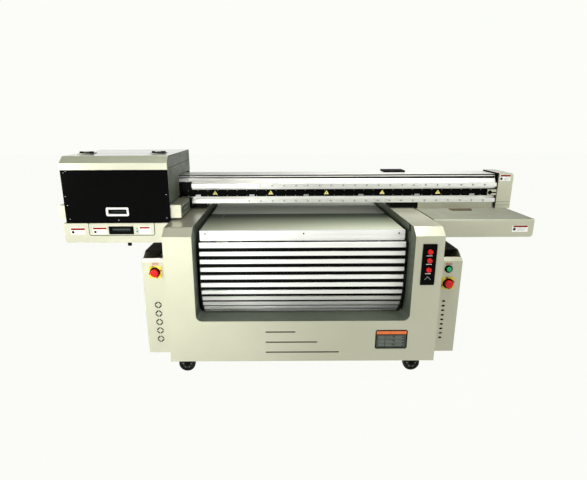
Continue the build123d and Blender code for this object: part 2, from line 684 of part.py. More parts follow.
def left_tray():
    x1 = HOUSE_X1
    x0 = x1 - TRAY_L_W
    z1 = ARM_TOP - TRAY_L_DROP
    z0 = z1 - TRAY_L_H
    y0, y1 = HOUSE_FRONT, BEAM_FRONT - 14
    tray = box(x0, x1, y0, y1, z0, z1)
    tray = rounded(tray, Axis.Y, 18, lambda c: c.Z < z0 + 1 and c.X < x0 + 1)
    tray -= box(x0 + 20, x1 - 3, y0 + 3, y1 - 3, z0 + 3, z1 + 5)
    tray -= box(x0 + 3, x0 + 21, y0 + 3, y1 - 3, z0 + 20, z1 + 5)
    hanger = box(x0 + 100, x1 - 120, y1, BEAM_BACK - 50, z1 - 4, BEAM_Z - 14)
    hanger += box(x0 + 100, x1 - 120, BEAM_FRONT + 4, BEAM_BACK - 50, BEAM_Z - 14, BEAM_Z)
    knob = rod("z", x0 + 290, y0 + 16, 9, z0 - 18, z0)
    return [tray, hanger, knob]


def control_panel():
    x = HOUSE_X1 - 229.5
    z1 = ARM_TOP - TRAY_L_DROP - 2
    plate = box(x - 147.5, x + 151.5, HOUSE_FRONT - 1.5, HOUSE_FRONT, z1 - 54, z1)
    plate = rounded(plate, Axis.Y, 9, lambda c: c.Z < z1 - 30)
    return plate - box(x - 57.7, x + 57.2, HOUSE_FRONT - 5, HOUSE_FRONT + 5, z1 - 50, z1 - 12)


def lcd_display():
    x = HOUSE_X1 - 229.5
    z1 = ARM_TOP - TRAY_L_DROP - 2
    return box(x - 57.5, x + 57, HOUSE_FRONT - 2.2, HOUSE_FRONT, z1 - 49.8, z1 - 12.2)


def capping_station():
    x = (HOUSE_X0 + HOUSE_X1) / 2
    z0 = ARM_TOP - TRAY_L_DROP - TRAY_L_H + 3
    station = box(x - 140, x + 140, HOUSE_FRONT + 30, HOUSE_FRONT + 210, z0, z0 + 50)
    for number in range(HEAD_COUNT):
        cx = x - 90 + 90 * number
        cap = box(cx - 28, cx + 28, HOUSE_FRONT + 50, HOUSE_FRONT + 180, z0 + 50, z0 + 76)
        cap -= box(cx - 22, cx + 22, HOUSE_FRONT + 56, HOUSE_FRONT + 174, z0 + 60, z0 + 80)
        station += cap
    return station + box(x + 125, x + 129, HOUSE_FRONT + 60, HOUSE_FRONT + 170, z0 + 50, z0 + 84)


def right_tray():
    x0, x1 = TRAY_R_X0, TRAY_R_X1
    z1 = ARM_TOP - 1
    z0 = z1 - TRAY_R_H
    y0, y1 = HOUSE_FRONT, BEAM_FRONT - 4
    tray = box(x0, x1, y0, y1, z0, z1)
    tray = rounded(tray, Axis.Y, 14, lambda c: c.Z < z0 + 1 and c.X > x1 - 1)
    tray = rounded(tray, Axis.X, 5, lambda c: c.Z > z1 - 1 and c.Y < y0 + 1)
    tray -= box(x0 + 2, x1 - 14, y0 + 2, y1 - 2, z0 - 5, z1 - 2)
    plate = box(x0 + 10, CAP_X0 - 5, y1, y1 + 3, z1 - 30, BEAM_Z)
    shelf = box(x0 + 150, CAP_X0 - 8, y1 + 3, BEAM_BACK - 40, z1 - 16, BEAM_Z)
    return [tray, plate, shelf]


def end_cap():
    x0, x1 = CAP_X0, CAP_X1
    z0 = ARM_TOP - 0.5
    z1 = z0 + CAP_RISE
    y0, y1 = BEAM_FRONT - 20, BEAM_BACK + 4
    cap = box(x0, x1, y0, y1, z0, z1)
    cap = rounded(cap, Axis.Y, 16, lambda c: c.Z > z1 - 1 and c.X > x1 - 1)
    cap -= box(x0 - 5, x1 - 3, y0 + 3, y1 - 3, z0 + 3, z1 - 18)
    bumper = box(x0 - 46, x0 - 1.5, BEAM_FRONT - 20, BEAM_FRONT - TRACK_T, BEAM_Z + 38, BEAM_Z + 66)
    return [cap, bumper]


def cable_chain():
    z = BEAM_Z + 90
    y0 = BEAM_BACK
    trough = box(-HALF, HALF, y0, y0 + 48, z - 3, z) + box(-HALF, HALF, y0 + 45, y0 + 48, z - 3, z + 22)
    run = box(-HALF + 30, 520, y0 + 6, y0 + 40, z, z + 30)
    count = int((520 + HALF - 60) / 30)
    for number in range(count):
        x = -HALF + 60 + 30 * number
        run -= box(x - 1.5, x + 1.5, y0, y0 + 44, z + 22, z + 34)
    hump = box(457, 570, y0 - 46, y0 + 40, BEAM_TOP, BEAM_TOP + 9) + box(520, 570, y0, y0 + 40, z, BEAM_TOP)
    return [trough, run, hump]


# ---------------- cover ----------------
def cover_hood():
    x0, x1, s, f = HOUSE_X0, HOUSE_X1, SHEET, HOUSE_FRONT
    top = HOUSE_TOP
    z1 = top - HOOD_BEVEL_H
    parts = [box(x0, x1, f + HOOD_BEVEL_D, HINGE_Y - 2, top - s, top)]
    bevel = [(f, z1), (f + HOOD_BEVEL_D, top), (f + HOOD_BEVEL_D, top - s - 0.5), (f + s, z1 - 1)]
    parts.append(prism(bevel, x0, x1, "x"))
    parts.append(box(x0, x1, f, f + s, WINDOW_Z1, z1))
    parts.append(box(x0 + 4, x1 - 4, f + s, f + WINDOW_T + 1.5, WINDOW_Z1 + 2, WINDOW_Z1 + 20))
    for x in (x0 + 4, x1 - 22):
        parts.append(box(x, x + 18, f + WINDOW_T, f + WINDOW_T + 1.5, WINDOW_Z0 + 2, WINDOW_Z1 + 2))
    for x in HINGE_XS:
        leaf = box(x - HINGE_L / 2, x + HINGE_L / 2, HINGE_Y - 36, HINGE_Y - 6, top, top + 3)
        leaf += rod("x", HINGE_Y, HINGE_Z, HINGE_R, x - 15, x + 15)
        leaf += box(x - 15, x + 15, HINGE_Y - 8, HINGE_Y, top + 0.5, top + 3)
        parts.append(leaf - rod("x", HINGE_Y, HINGE_Z, HINGE_PIN_R + RUN, x - 20, x + 20))
    return parts


def window():
    pane = box(HOUSE_X0, HOUSE_X1, HOUSE_FRONT, HOUSE_FRONT + WINDOW_T, WINDOW_Z0, WINDOW_Z1)
    w, h = HANDLE_W / 2 - 7, HANDLE_H / 2 - 7
    return pane - box(HANDLE_X - w, HANDLE_X + w, HOUSE_FRONT - 5, HOUSE_FRONT + 9, HANDLE_Z - h, HANDLE_Z + h)


def pull_handle():
    f = HOUSE_FRONT
    w, h = HANDLE_W / 2, HANDLE_H / 2
    bezel = box(HANDLE_X - w, HANDLE_X + w, f - 3, f, HANDLE_Z - h, HANDLE_Z + h)
    bezel = rounded(bezel, Axis.Y, 7, lambda c: True)
    bezel += box(HANDLE_X - w + 7, HANDLE_X + w - 7, f - 1, f + WINDOW_T + 4, HANDLE_Z - h + 7, HANDLE_Z + h - 7)
    return bezel - box(HANDLE_X - w + 9, HANDLE_X + w - 9, f - 5, f + WINDOW_T + 2.5, HANDLE_Z - h + 9, HANDLE_Z + h - 9)


# ---------------- carriage ----------------
def uv_lamps():
    lamps = []
    for x0 in (BAR_X0, BAR_X1 - LAMP_W):
        lamp = box(x0, x0 + LAMP_W, BAR_FRONT, BAR_BACK - 24, BAR_Z0, BAR_Z1)
        lamp = rounded(lamp, Axis.Y, 4, lambda c: c.Z > BAR_Z1 - 1)
        lamps.append(lamp - box(x0 + 25, x0 + 75, BAR_FRONT + 30, BAR_BACK - 60, BAR_Z0 - 5, BAR_Z0 + 4))
    return lamps


def head_x(number):
    return (BAR_X0 + BAR_X1) / 2 + 90 * (number - (HEAD_COUNT - 1) / 2)


def head_carrier():
    x0, x1 = BAR_X0 + LAMP_W, BAR_X1 - LAMP_W
    tray = box(x0, x1, BAR_FRONT, BAR_BACK, BAR_Z0, BAR_Z1)
    tray -= box(x0 + 5, x1 - 5, BAR_FRONT + 5, BAR_BACK - 5, BAR_Z0 + 6, BAR_Z1 + 5)
    for number in range(HEAD_COUNT):
        x = head_x(number)
        tray -= box(x - 22.2, x + 22.2, BAR_FRONT + 49.8, BAR_FRONT + 170.2, BAR_Z0 - 5, BAR_Z0 + 10)
    return tray


def print_heads():
    heads = []
    for number in range(HEAD_COUNT):
        x = head_x(number)
        head = box(x - 22, x + 22, BAR_FRONT + 50, BAR_FRONT + 170, BAR_Z0 - 3, BAR_Z0 + 40)
        heads.append(head + box(x - 32, x + 32, BAR_FRONT + 40, BAR_FRONT + 180, BAR_Z0 + 6, BAR_Z0 + 14))
    return heads


def carriage_plate():
    return box(BAR_X0 + 62, HOUSE_X1 + 3, BAR_BACK, BEAM_FRONT - BLOCK_H, BEAM_Z - 7, BEAM_Z + 112)


def x_bearing_blocks():
    blocks = []
    for x in (BAR_X0 + 102, BAR_X1 - 34):
        for up in (RAIL_LOW, RAIL_HIGH):
            z = BEAM_Z + up
            block = box(x - BLOCK_L / 2, x + BLOCK_L / 2, BEAM_FRONT - BLOCK_H, BEAM_FRONT - 4.6,
                        z - BLOCK_W / 2, z + BLOCK_W / 2)
            block -= box(x - 60, x + 60, BEAM_FRONT - RAIL_H - GAP, BEAM_FRONT, z - RAIL_W / 2 - GAP,
                         z + RAIL_W / 2 + GAP)
            blocks.append(block)
    return blocks


# ---------------- assemble and export ----------------
keep("front_panel", front_panel())
keep("recess_liner", recess_liner())
keep("arm_covers", both_sides(arm_cover()))
keep("front_slats", front_slats())
keep("slat_tracks", slat_tracks())
keep("base_frame", base_frame())
keep("floor_pan", floor_pan())
keep("rear_panel", rear_panel())
keep("side_cabinets", side_cabinet(-1), side_cabinet(1))
keep("rail_covers", both_sides(rail_cover()))
keep("y_rails", both_sides(y_rail_bed()), both_sides(y_rail()))
keep("y_drives", [m for s in screw_supports() + [y_motor()] for m in both_sides(s)])
keep("caster_mounts", [caster_mount(x, y) for x, y, turn in CASTERS.values()])
keep("lift_columns", lift_columns())
keep("vacuum_blower", vacuum_blower())
keep("electronics_box", electronics_box())
keep("ink_bottles", ink_bottles())
keep("estop_guards", [estop_guard(x, z) for x, z in ESTOP_SPOTS.values()])
keep("button_panels", button_panel(), green_bezel())
keep("table_plate", table_plate())
keep("table_front_rail", table_front_rail())
keep("table_platform", table_platform(), lift_rods())
keep("beam", beam())
keep("x_rails", x_rails())
keep("magnet_track", magnet_track())
keep("gantry_legs", both_sides(gantry_leg()))
keep("y_bearing_blocks", [m for s in y_bearing_blocks() for m in both_sides(s)])
keep("ball_nuts", both_sides(ball_nut()))
keep("housing_shell", housing_shell())
keep("left_tray", left_tray())
keep("control_panel", control_panel())
keep("lcd_display", lcd_display())
keep("capping_station", capping_station())
keep("right_tray", right_tray())
keep("end_cap", end_cap())
keep("cable_chain", cable_chain())
keep("cover_hood", cover_hood())
keep("window", window())
keep("pull_handle", pull_handle())
keep("uv_lamps", uv_lamps())
keep("head_carrier", head_carrier())
keep("print_heads", print_heads())
keep("carriage_plate", carriage_plate())
keep("x_bearing_blocks", x_bearing_blocks())
screw_left, screw_right = mirror(y_screw(), about=Plane.YZ), y_screw()
keep("y_screw_left", screw_left)
keep("y_screw_right", screw_right)
for spot, (cx, cy, turn) in CASTERS.items():
    here = Pos(cx, cy, 0) * Rot(0, 0, turn)
    keep("caster_fork_" + spot, here * caster_fork())
    keep("caster_wheel_" + spot, here * caster_wheel())
for side, (cx, cz) in ESTOP_SPOTS.items():
    keep("estop_button_" + side, estop_button(cx, cz))
for number, cz in enumerate(RED_ZS):
    keep("red_button_" + str(number + 1), red_button(cz))
keep("green_button", green_button())

bounds = [solid.bounding_box() for solids in pieces.values() for solid in solids]
LOW = [min(getattr(b.min, axis) for b in bounds) for axis in "XYZ"]
HIGH = [max(getattr(b.max, axis) for b in bounds) for axis in "XYZ"]
SHIFT = (-(LOW[0] + HIGH[0]) / 2, -(LOW[1] + HIGH[1]) / 2, -LOW[2])
for name, solids in pieces.items():
    moved = [Pos(*SHIFT) * solid for solid in solids]
    whole = moved[0] if len(moved) == 1 else Compound(children=moved)
    export_step(whole, os.path.join("parts", name + ".step"))
print(len(pieces), "pieces; shift", [round(v, 3) for v in SHIFT])
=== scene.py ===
"""Looks of a flatbed ultraviolet printer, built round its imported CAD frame."""

import json
import math

import bmesh
import bpy
from mathutils import Matrix, Vector

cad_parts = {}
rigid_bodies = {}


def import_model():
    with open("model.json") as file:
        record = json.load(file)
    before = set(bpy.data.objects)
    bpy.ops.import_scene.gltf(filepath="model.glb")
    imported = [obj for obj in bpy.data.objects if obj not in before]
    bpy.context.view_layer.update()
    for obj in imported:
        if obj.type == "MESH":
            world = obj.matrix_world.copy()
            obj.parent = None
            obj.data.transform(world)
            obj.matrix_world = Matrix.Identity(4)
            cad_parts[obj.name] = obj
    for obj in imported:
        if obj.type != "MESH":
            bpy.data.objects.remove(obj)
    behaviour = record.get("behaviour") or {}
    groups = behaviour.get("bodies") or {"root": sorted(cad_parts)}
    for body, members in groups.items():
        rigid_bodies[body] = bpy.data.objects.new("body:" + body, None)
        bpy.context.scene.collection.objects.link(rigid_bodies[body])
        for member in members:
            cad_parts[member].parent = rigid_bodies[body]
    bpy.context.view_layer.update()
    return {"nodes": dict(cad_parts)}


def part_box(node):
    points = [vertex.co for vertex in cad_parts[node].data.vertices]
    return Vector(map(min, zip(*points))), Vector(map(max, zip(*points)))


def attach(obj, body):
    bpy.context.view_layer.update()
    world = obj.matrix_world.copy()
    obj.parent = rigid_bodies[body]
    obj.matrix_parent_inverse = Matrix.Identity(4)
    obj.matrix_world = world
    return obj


bl_info = {
    "name": "Flatbed Printer Looks",
    "version": (1, 0, 0),
    "blender": (4, 5, 0),
    "location": "View3D > Sidebar > Printer",
    "description": "Finishes and small parts of a flatbed ultraviolet printer",
    "category": "Object",
}

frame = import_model()
NODES = frame["nodes"]
MM = 0.001
UP = Vector((0, 0, 1))
TO_FRONT = Vector((0, -1, 0))

# The workshop origin: middle of the front panel's face, on the floor.
_low, _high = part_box("front_panel")
ORIGIN = Vector(((_low.x + _high.x) / 2, _low.y, 0.0))


def at(x, y, z):
    """A point in the workshop's millimetres, as metres in the frame."""
    return ORIGIN + Vector((x, y, z)) * MM


def span(node):
    """A CAD node's low and high corners in the workshop's millimetres."""
    low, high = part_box(node)
    return (low - ORIGIN) / MM, (high - ORIGIN) / MM


# ---------------------------------------------------------------- colours and materials
def linear(code):
    """An sRGB hex colour such as "d3d3c6" as linear RGBA."""
    parts = [int(code[i:i + 2], 16) / 255 for i in (0, 2, 4)]
    return tuple(p / 12.92 if p <= 0.04045 else ((p + 0.055) / 1.055) ** 2.4 for p in parts) + (1.0,)


def add(tree, kind, links=(), **settings):
    """Add a node, set its sockets and properties, and link (from socket, to input name) pairs into it."""
    node = tree.nodes.new(kind)
    for key, value in settings.items():
        name = key.replace("_", " ")
        if hasattr(node, key):
            setattr(node, key, value)
        elif name in node.inputs:
            node.inputs[name].default_value = value
        else:
            raise ValueError(f"{kind} has no {key}")
    for source, target in links:
        tree.links.new(source, node.inputs[target])
    return node


def start(name, colour, roughness, metallic=0.0, ior=1.5, coat=0.0, coat_roughness=0.1):
    """A new material with its shader, and object-space coordinates in metres."""
    material = bpy.data.materials.new(name)
    material.use_nodes = True
    tree = material.node_tree
    tree.nodes.clear()
    out = tree.nodes.new("ShaderNodeOutputMaterial")
    shader = tree.nodes.new("ShaderNodeBsdfPrincipled")
    shader.inputs["Base Color"].default_value = linear(colour)
    shader.inputs["Roughness"].default_value = roughness
    shader.inputs["Metallic"].default_value = metallic
    shader.inputs["IOR"].default_value = ior
    shader.inputs["Coat Weight"].default_value = coat
    shader.inputs["Coat Roughness"].default_value = coat_roughness
    tree.links.new(shader.outputs[0], out.inputs["Surface"])
    place = tree.nodes.new("ShaderNodeTexCoord").outputs["Object"]
    material.diffuse_color = linear(colour)
    return material, tree, shader, place


def mottle(tree, shader, place, colours, size_mm, detail=3.0, low=0.35, high=0.65, target="Base Color"):
    """Blotches of two colours about size_mm across."""
    noise = add(tree, "ShaderNodeTexNoise", [(place, "Vector")], Scale=1000.0 / size_mm, Detail=detail)
    ramp = add(tree, "ShaderNodeValToRGB", [(noise.outputs["Fac"], "Fac")])
    ramp.color_ramp.elements[0].position = low
    ramp.color_ramp.elements[1].position = high
    ramp.color_ramp.elements[0].color = linear(colours[0])
    ramp.color_ramp.elements[1].color = linear(colours[1])
    tree.links.new(ramp.outputs["Color"], shader.inputs[target])
    return ramp


def vary_roughness(tree, shader, place, size_mm, low, high):
    """Roughness that wanders between two values."""
    noise = add(tree, "ShaderNodeTexNoise", [(place, "Vector")], Scale=1000.0 / size_mm, Detail=4.0)
    fit = add(tree, "ShaderNodeMapRange", [(noise.outputs["Fac"], "Value")], From_Min=0.3, From_Max=0.7,
              To_Min=low, To_Max=high)
    tree.links.new(fit.outputs["Result"], shader.inputs["Roughness"])


def grain(tree, shader, place, size_mm, strength, depth_mm=0.05, stretch=(1, 1, 1)):
    """A fine bump about size_mm across; stretch draws it out along an axis."""
    turned = add(tree, "ShaderNodeMapping", [(place, "Vector")], Scale=stretch)
    noise = add(tree, "ShaderNodeTexNoise", [(turned.outputs[0], "Vector")],
                Scale=1000.0 / size_mm, Detail=2.0)
    bump = add(tree, "ShaderNodeBump", [(noise.outputs["Fac"], "Height")], Strength=strength,
               Distance=depth_mm * MM)
    tree.links.new(bump.outputs["Normal"], shader.inputs["Normal"])
    return bump


def powder_coat(name, colour, other, roughness=0.42, coat=0.25):
    """Polyester powder coat: satin, with a faint orange peel a few millimetres across."""
    material, tree, shader, place = start(name, colour, roughness, coat=coat, coat_roughness=0.22)
    mottle(tree, shader, place, (colour, other), 240.0)
    vary_roughness(tree, shader, place, 60.0, roughness - 0.05, roughness + 0.06)
    grain(tree, shader, place, 3.0, 0.12)
    return material


def metallic_paint(name, colour, other, roughness=0.36):
    """Champagne metallic lacquer: fine flakes give a soft sheen under a clear coat."""
    material, tree, shader, place = start(name, colour, roughness, metallic=0.35, coat=0.5,
                                          coat_roughness=0.18)
    mottle(tree, shader, place, (colour, other), 300.0)
    vary_roughness(tree, shader, place, 40.0, roughness - 0.05, roughness + 0.05)
    grain(tree, shader, place, 2.5, 0.10)
    return material


def brushed(name, colour, other, roughness=0.28, along=(0.02, 1, 1), metallic=1.0):
    """Bare metal with a drawn grain: scratches run along one axis and stretch the reflections."""
    material, tree, shader, place = start(name, colour, roughness, metallic=metallic)
    turned = add(tree, "ShaderNodeMapping", [(place, "Vector")], Scale=along)
    noise = add(tree, "ShaderNodeTexNoise", [(turned.outputs[0], "Vector")], Scale=700.0, Detail=3.0)
    ramp = add(tree, "ShaderNodeValToRGB", [(noise.outputs["Fac"], "Fac")])
    ramp.color_ramp.elements[0].color = linear(colour)
    ramp.color_ramp.elements[1].color = linear(other)
    tree.links.new(ramp.outputs["Color"], shader.inputs["Base Color"])
    fit = add(tree, "ShaderNodeMapRange", [(noise.outputs["Fac"], "Value")], To_Min=roughness - 0.08,
              To_Max=roughness + 0.12)
    tree.links.new(fit.outputs["Result"], shader.inputs["Roughness"])
    bump = add(tree, "ShaderNodeBump", [(noise.outputs["Fac"], "Height")], Strength=0.08, Distance=0.02 * MM)
    tree.links.new(bump.outputs["Normal"], shader.inputs["Normal"])
    return material


def plastic(name, colour, other, roughness, ior=1.5, coat=0.0, grain_mm=1.2, strength=0.08):
    """Moulded plastic: an even colour with a slight cloud, and a light spark-eroded texture."""
    material, tree, shader, place = start(name, colour, roughness, ior=ior, coat=coat)
    mottle(tree, shader, place, (colour, other), 30.0)
    grain(tree, shader, place, grain_mm, strength, 0.03)
    return material


def dull(material, level):
    """Less mirror at normal incidence, as on a flatted or dusty black surface."""
    material.node_tree.nodes["Principled BSDF"].inputs["Specular IOR Level"].default_value = level
    return material


# Distance behind the front panel in millimetres, and the tone painted on the polished table there: painted
# reflections of the room.
TABLE_PAINTED_REFLECTIONS = ((125, "c4c8b0"), (185, "a9ad97"), (290, "767d6a"), (400, "2a3225"), (468, "161c13"),
               (474, "c9cdc1"), (640, "b4b9ad"), (805, "8f9488"))


def painted_reflection_table(name):
    """Anodised plate with painted reflections: long soft bands of the room painted in its base colour across
    its depth.
    """
    material = dull(brushed(name, "8f9488", "9a9f93", 0.45, metallic=0.0), 0.03)
    tree = material.node_tree
    shader = tree.nodes["Principled BSDF"]
    place = tree.nodes["Texture Coordinate"].outputs["Object"]
    parts = add(tree, "ShaderNodeSeparateXYZ", [(place, "Vector")])
    first, last = TABLE_PAINTED_REFLECTIONS[0][0], TABLE_PAINTED_REFLECTIONS[-1][0]
    fit = add(tree, "ShaderNodeMapRange", [(parts.outputs["Y"], "Value")], From_Min=at(0, first, 0).y,
              From_Max=at(0, last, 0).y)
    ramp = add(tree, "ShaderNodeValToRGB", [(fit.outputs[0], "Fac")])
    stops = ramp.color_ramp.elements
    for i, (depth, tone) in enumerate(TABLE_PAINTED_REFLECTIONS):
        spot = (depth - first) / (last - first)
        stop = stops[0] if i == 0 else stops.new(spot) if i < len(TABLE_PAINTED_REFLECTIONS) - 1 else stops[-1]
        stop.position = spot
        stop.color = linear(tone)
    tree.links.new(ramp.outputs["Color"], shader.inputs["Base Color"])
    return material


MATERIALS = {}


def make_materials():
    """Every finish, by its plain name. The comment over a group says what its finishes give the eye."""
    m = MATERIALS
    # Sprayed sheet steel: champagne lacquer glows softly where it faces a light. The flatter, darker coats
    # are painted shade on the housing's sides, the front opening and the right tray's top; the lighter ones
    # are painted light on the hood's bevel and lid and on the left cabinet's sloped front, and the lid's
    # clear coat mirrors the backdrop when seen low.
    m["cream"] = metallic_paint("champagne_lacquer", "babaa4", "b4b49d")
    m["tray_top"] = powder_coat("tray_top_painted_shade_coat", "8a8c7b", "838574", 0.5, coat=0.0)
    m["bevel"] = powder_coat("hood_bevel_painted_light_coat", "c2c5ac", "bcbfa6", 0.4)
    m["lid"] = plastic("lid_painted_light_lacquer", "eeeee8", "e6e6de", 0.3, coat=1.0, grain_mm=40.0, strength=0.01)
    m["side"] = dull(powder_coat("housing_side_painted_shade", "565d4e", "4d5446", coat=0.0), 0.3)
    m["recess"] = dull(powder_coat("grey_coat_and_painted_shade", "4a5143", "424a3c", coat=0.0), 0.5)
    m["white"] = powder_coat("white_powder_coat", "e9e9e2", "e3e3da", 0.35)
    # Aluminium and steel: anodising hides part of the metal, so those are whiter and blur what they mirror.
    m["slat"] = brushed("anodised_slat", "eeefe8", "f6f7f2", 0.34, metallic=0.35)
    # The table's light and dark bands are painted reflections in its base colour, not mirrored by the shader.
    m["table"] = painted_reflection_table("anodised_table_painted_reflections")
    m["table_edge"] = brushed("anodised_extrusion", "eeefe8", "f8f9f4", 0.32, metallic=0.35)
    m["rail"] = brushed("ground_rail_steel", "dcddd6", "e8e9e3", 0.28, metallic=0.55)
    m["cast"] = brushed("machined_aluminium", "9fa19c", "aaaca7", 0.35)
    m["zinc"] = brushed("zinc_plated_steel", "a4a6a5", "b4b6b4", 0.34)
    # Blacks: flat ones swallow the studio's light, the window and display give one faint sharp glint.
    m["black_steel"] = dull(powder_coat("black_powder_coat", "090a08", "0f100d", 0.5, coat=0.0), 0.04)
    m["black_plastic"] = dull(plastic("black_abs", "040404", "080808", 0.5), 0.03)
    m["acrylic"] = dull(plastic("smoked_acrylic", "010101", "020202", 0.12, ior=1.49, grain_mm=40.0,
                                strength=0.01), 0.06)
    m["glass"] = dull(plastic("display_glass", "030404", "060807", 0.1, ior=1.52, grain_mm=40.0,
                              strength=0.01), 0.06)
    m["lcd"] = dull(plastic("lcd_film", "161d19", "1b2420", 0.25, grain_mm=10.0, strength=0.02), 0.1)
    # Moulded plastic and rubber: even colour, a soft highlight on rounded heads, satin tyres.
    m["bezel"] = plastic("satin_chrome_plastic", "c9cbc6", "d4d6d1", 0.22)
    m["yellow"] = plastic("yellow_abs", "d8bd22", "dfc532", 0.38)
    m["red"] = dull(plastic("red_polycarbonate", "c4100c", "cc1610", 0.25), 0.3)
    m["green"] = dull(plastic("green_polycarbonate", "06a05c", "0bae68", 0.25), 0.6)
    m["rubber"] = dull(plastic("polyurethane_tyre", "050505", "0a0a0a", 0.3), 0.22)
    m["hub"] = dull(plastic("black_nylon_hub", "0c0c0c", "121212", 0.3), 0.3)
    # Printed vinyl and plate: thin, matt and strongly coloured against the lacquer.
    m["label"] = plastic("white_vinyl_label", "eeeee8", "e6e6de", 0.5, strength=0.02)
    m["orange"] = dull(plastic("orange_vinyl_print", "7c1e04", "842206", 0.6, strength=0.02), 0.06)
    m["strip"] = dull(plastic("ochre_vinyl_print", "9a5208", "a2580c", 0.6, strength=0.02), 0.06)
    m["amber"] = plastic("amber_vinyl_print", "dd6a2c", "e37433", 0.5, strength=0.02)
    m["teal"] = plastic("teal_vinyl_print", "2a8794", "318f9c", 0.5, strength=0.02)
    m["ink"] = dull(plastic("black_vinyl_print", "040404", "070707", 0.6, strength=0.02), 0.03)
    m["plate"] = dull(plastic("printed_steel_plate", "39413a", "414941", 0.4, strength=0.02), 0.2)
    m["pale_print"] = plastic("pale_plate_print", "8d948a", "979e94", 0.5, strength=0.02)
    m["triangle"] = plastic("yellow_vinyl_print", "f0e27a", "f4e88c", 0.5, strength=0.02)
    # The rest: a rough felt pad, cloudy ink bottles, flat magnet covers and the dark of a shut line.
    m["sponge"] = plastic("brown_felt_pad", "4a4128", "564c32", 0.9, strength=0.5)
    m["bottle"] = plastic("ink_bottle_polythene", "1b1c20", "24262b", 0.35)
    m["magnet"] = dull(plastic("epoxy_magnet_cover", "040504", "080a07", 0.5), 0.03)
    m["gap"] = dull(plastic("shadow_gap_rubber", "030303", "070707", 0.8), 0.1)


NODE_FINISH = {
    # The recess liner's dark grey is painted shade.
    "front_panel": "cream", "recess_liner": "recess", "arm_covers": "cream", "front_slats": "slat",
    "slat_tracks": "black_steel", "base_frame": "black_steel", "floor_pan": "black_steel",
    "rear_panel": "cream", "side_cabinets": "cream", "rail_covers": "black_steel", "y_rails": "rail",
    "y_drives": "black_steel", "caster_mounts": "zinc", "lift_columns": "cast", "vacuum_blower": "cast",
    "electronics_box": "recess", "ink_bottles": "bottle", "estop_guards": "yellow",
    "button_panels": "black_plastic", "table_plate": "table", "table_front_rail": "table_edge",
    "table_platform": "black_steel", "beam": "white", "x_rails": "rail", "magnet_track": "magnet",
    "gantry_legs": "black_steel", "y_bearing_blocks": "black_steel", "ball_nuts": "rail",
    # The housing shell's dark side coat is painted shade.
    "housing_shell": "side", "left_tray": "cream", "control_panel": "cream", "lcd_display": "glass",
    "capping_station": "black_plastic", "right_tray": "cream", "end_cap": "cream",
    "cable_chain": "black_plastic", "cover_hood": "cream", "window": "acrylic", "pull_handle": "bezel",
    "uv_lamps": "cream", "head_carrier": "cream", "print_heads": "black_plastic",
    "carriage_plate": "black_steel", "x_bearing_blocks": "black_steel", "y_screw_left": "rail",
    "y_screw_right": "rail",
    "green_button": "green", "caster_fork": "black_steel", "caster_wheel": "rubber", "estop_button": "red",
    "red_button": "red",
}


def finish_of(node):
    """The finish of a CAD node, by the longest name that it starts with."""
    for name in sorted(NODE_FINISH, key=len, reverse=True):
        if node.startswith(name):
            return NODE_FINISH[name]
    raise KeyError(node)


def paint_faces(node, finish, test):
    """Give a second finish to the faces of a CAD node that pass a test of centre (millimetres) and normal."""
    mesh = NODES[node].data
    mesh.materials.append(MATERIALS[finish])
    index = len(mesh.materials) - 1
    for face in mesh.polygons:
        if test((face.center - ORIGIN) / MM, face.normal):
            face.material_index = index


def within(x=(-5000, 5000), y=(-5000, 5000), z=(-5000, 5000), axis=None, least=0.7):
    """A test for faces centred inside ranges in millimetres, and facing along an axis such as (0, -1, 0)."""
    def test(c, n):
        """Whether a face centred at c and facing n is one of them."""
        inside = x[0] < c.x < x[1] and y[0] < c.y < y[1] and z[0] < c.z < z[1]
        return inside and (axis is None or n.dot(Vector(axis)) > least)
    return test


# ---------------------------------------------------------------- mesh building
def put(name, bm, finish, body):
    """Link a bmesh as a piece with its finish or finishes, riding on a body."""
    mesh = to_mesh(name, bm)
    obj = bpy.data.objects.new(name, mesh)
    bpy.context.scene.collection.objects.link(obj)
    for one in finish if isinstance(finish, tuple) else (finish,):
        mesh.materials.append(MATERIALS[one])
    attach(obj, body)


def to_mesh(name, bm):
    """Close a bmesh into a mesh with its faces turned outwards."""
    bmesh.ops.recalc_face_normals(bm, faces=bm.faces)
    mesh = bpy.data.meshes.new(name)
    bm.to_mesh(mesh)
    bm.free()
    return mesh


def add_block(bm, low, high, bevel=0.0, segments=2, index=0):
    """A block between two workshop points, with rounded edges of bevel millimetres."""
    a, b = at(*low), at(*high)
    made = bmesh.ops.create_cube(bm, size=1.0)
    size, middle = b - a, (a + b) / 2
    for v in made["verts"]:
        v.co = Vector((v.co.x * size.x, v.co.y * size.y, v.co.z * size.z)) + middle
    faces = {f for v in made["verts"] for f in v.link_faces}
    if bevel:
        edges = list({e for v in made["verts"] for e in v.link_edges})
        cut = bmesh.ops.bevel(bm, geom=edges, offset=bevel * MM, segments=segments, affect="EDGES",
                              profile=0.5, clamp_overlap=True)
        faces = {f for v in cut["verts"] for f in v.link_faces}
    for f in faces:
        f.material_index = index
        f.smooth = False
    return faces


def add_outline(bm, points, depth, index=0):
    """A flat outline of frame points, thickened by the vector depth."""
    front = [bm.verts.new(p) for p in points]
    back = [bm.verts.new(p + depth) for p in points]
    faces = [bm.faces.new(front), bm.faces.new(back[::-1])]
    count = len(points)
    for i in range(count):
        j = (i + 1) % count
        faces.append(bm.faces.new((front[j], front[i], back[i], back[j])))
    for f in faces:
        f.material_index = index
    return faces


def round_rect(x0, x1, z0, z1, radius, steps=5):
    """Corner-rounded rectangle as (x, z) points."""
    points = []
    for cx, cz, turn in ((x1 - radius, z1 - radius, 0), (x0 + radius, z1 - radius, 90),
                         (x0 + radius, z0 + radius, 180), (x1 - radius, z0 + radius, 270)):
        for i in range(steps + 1):
            a = math.radians(turn + 90 * i / steps)
            points.append((cx + radius * math.cos(a), cz + radius * math.sin(a)))
    return points


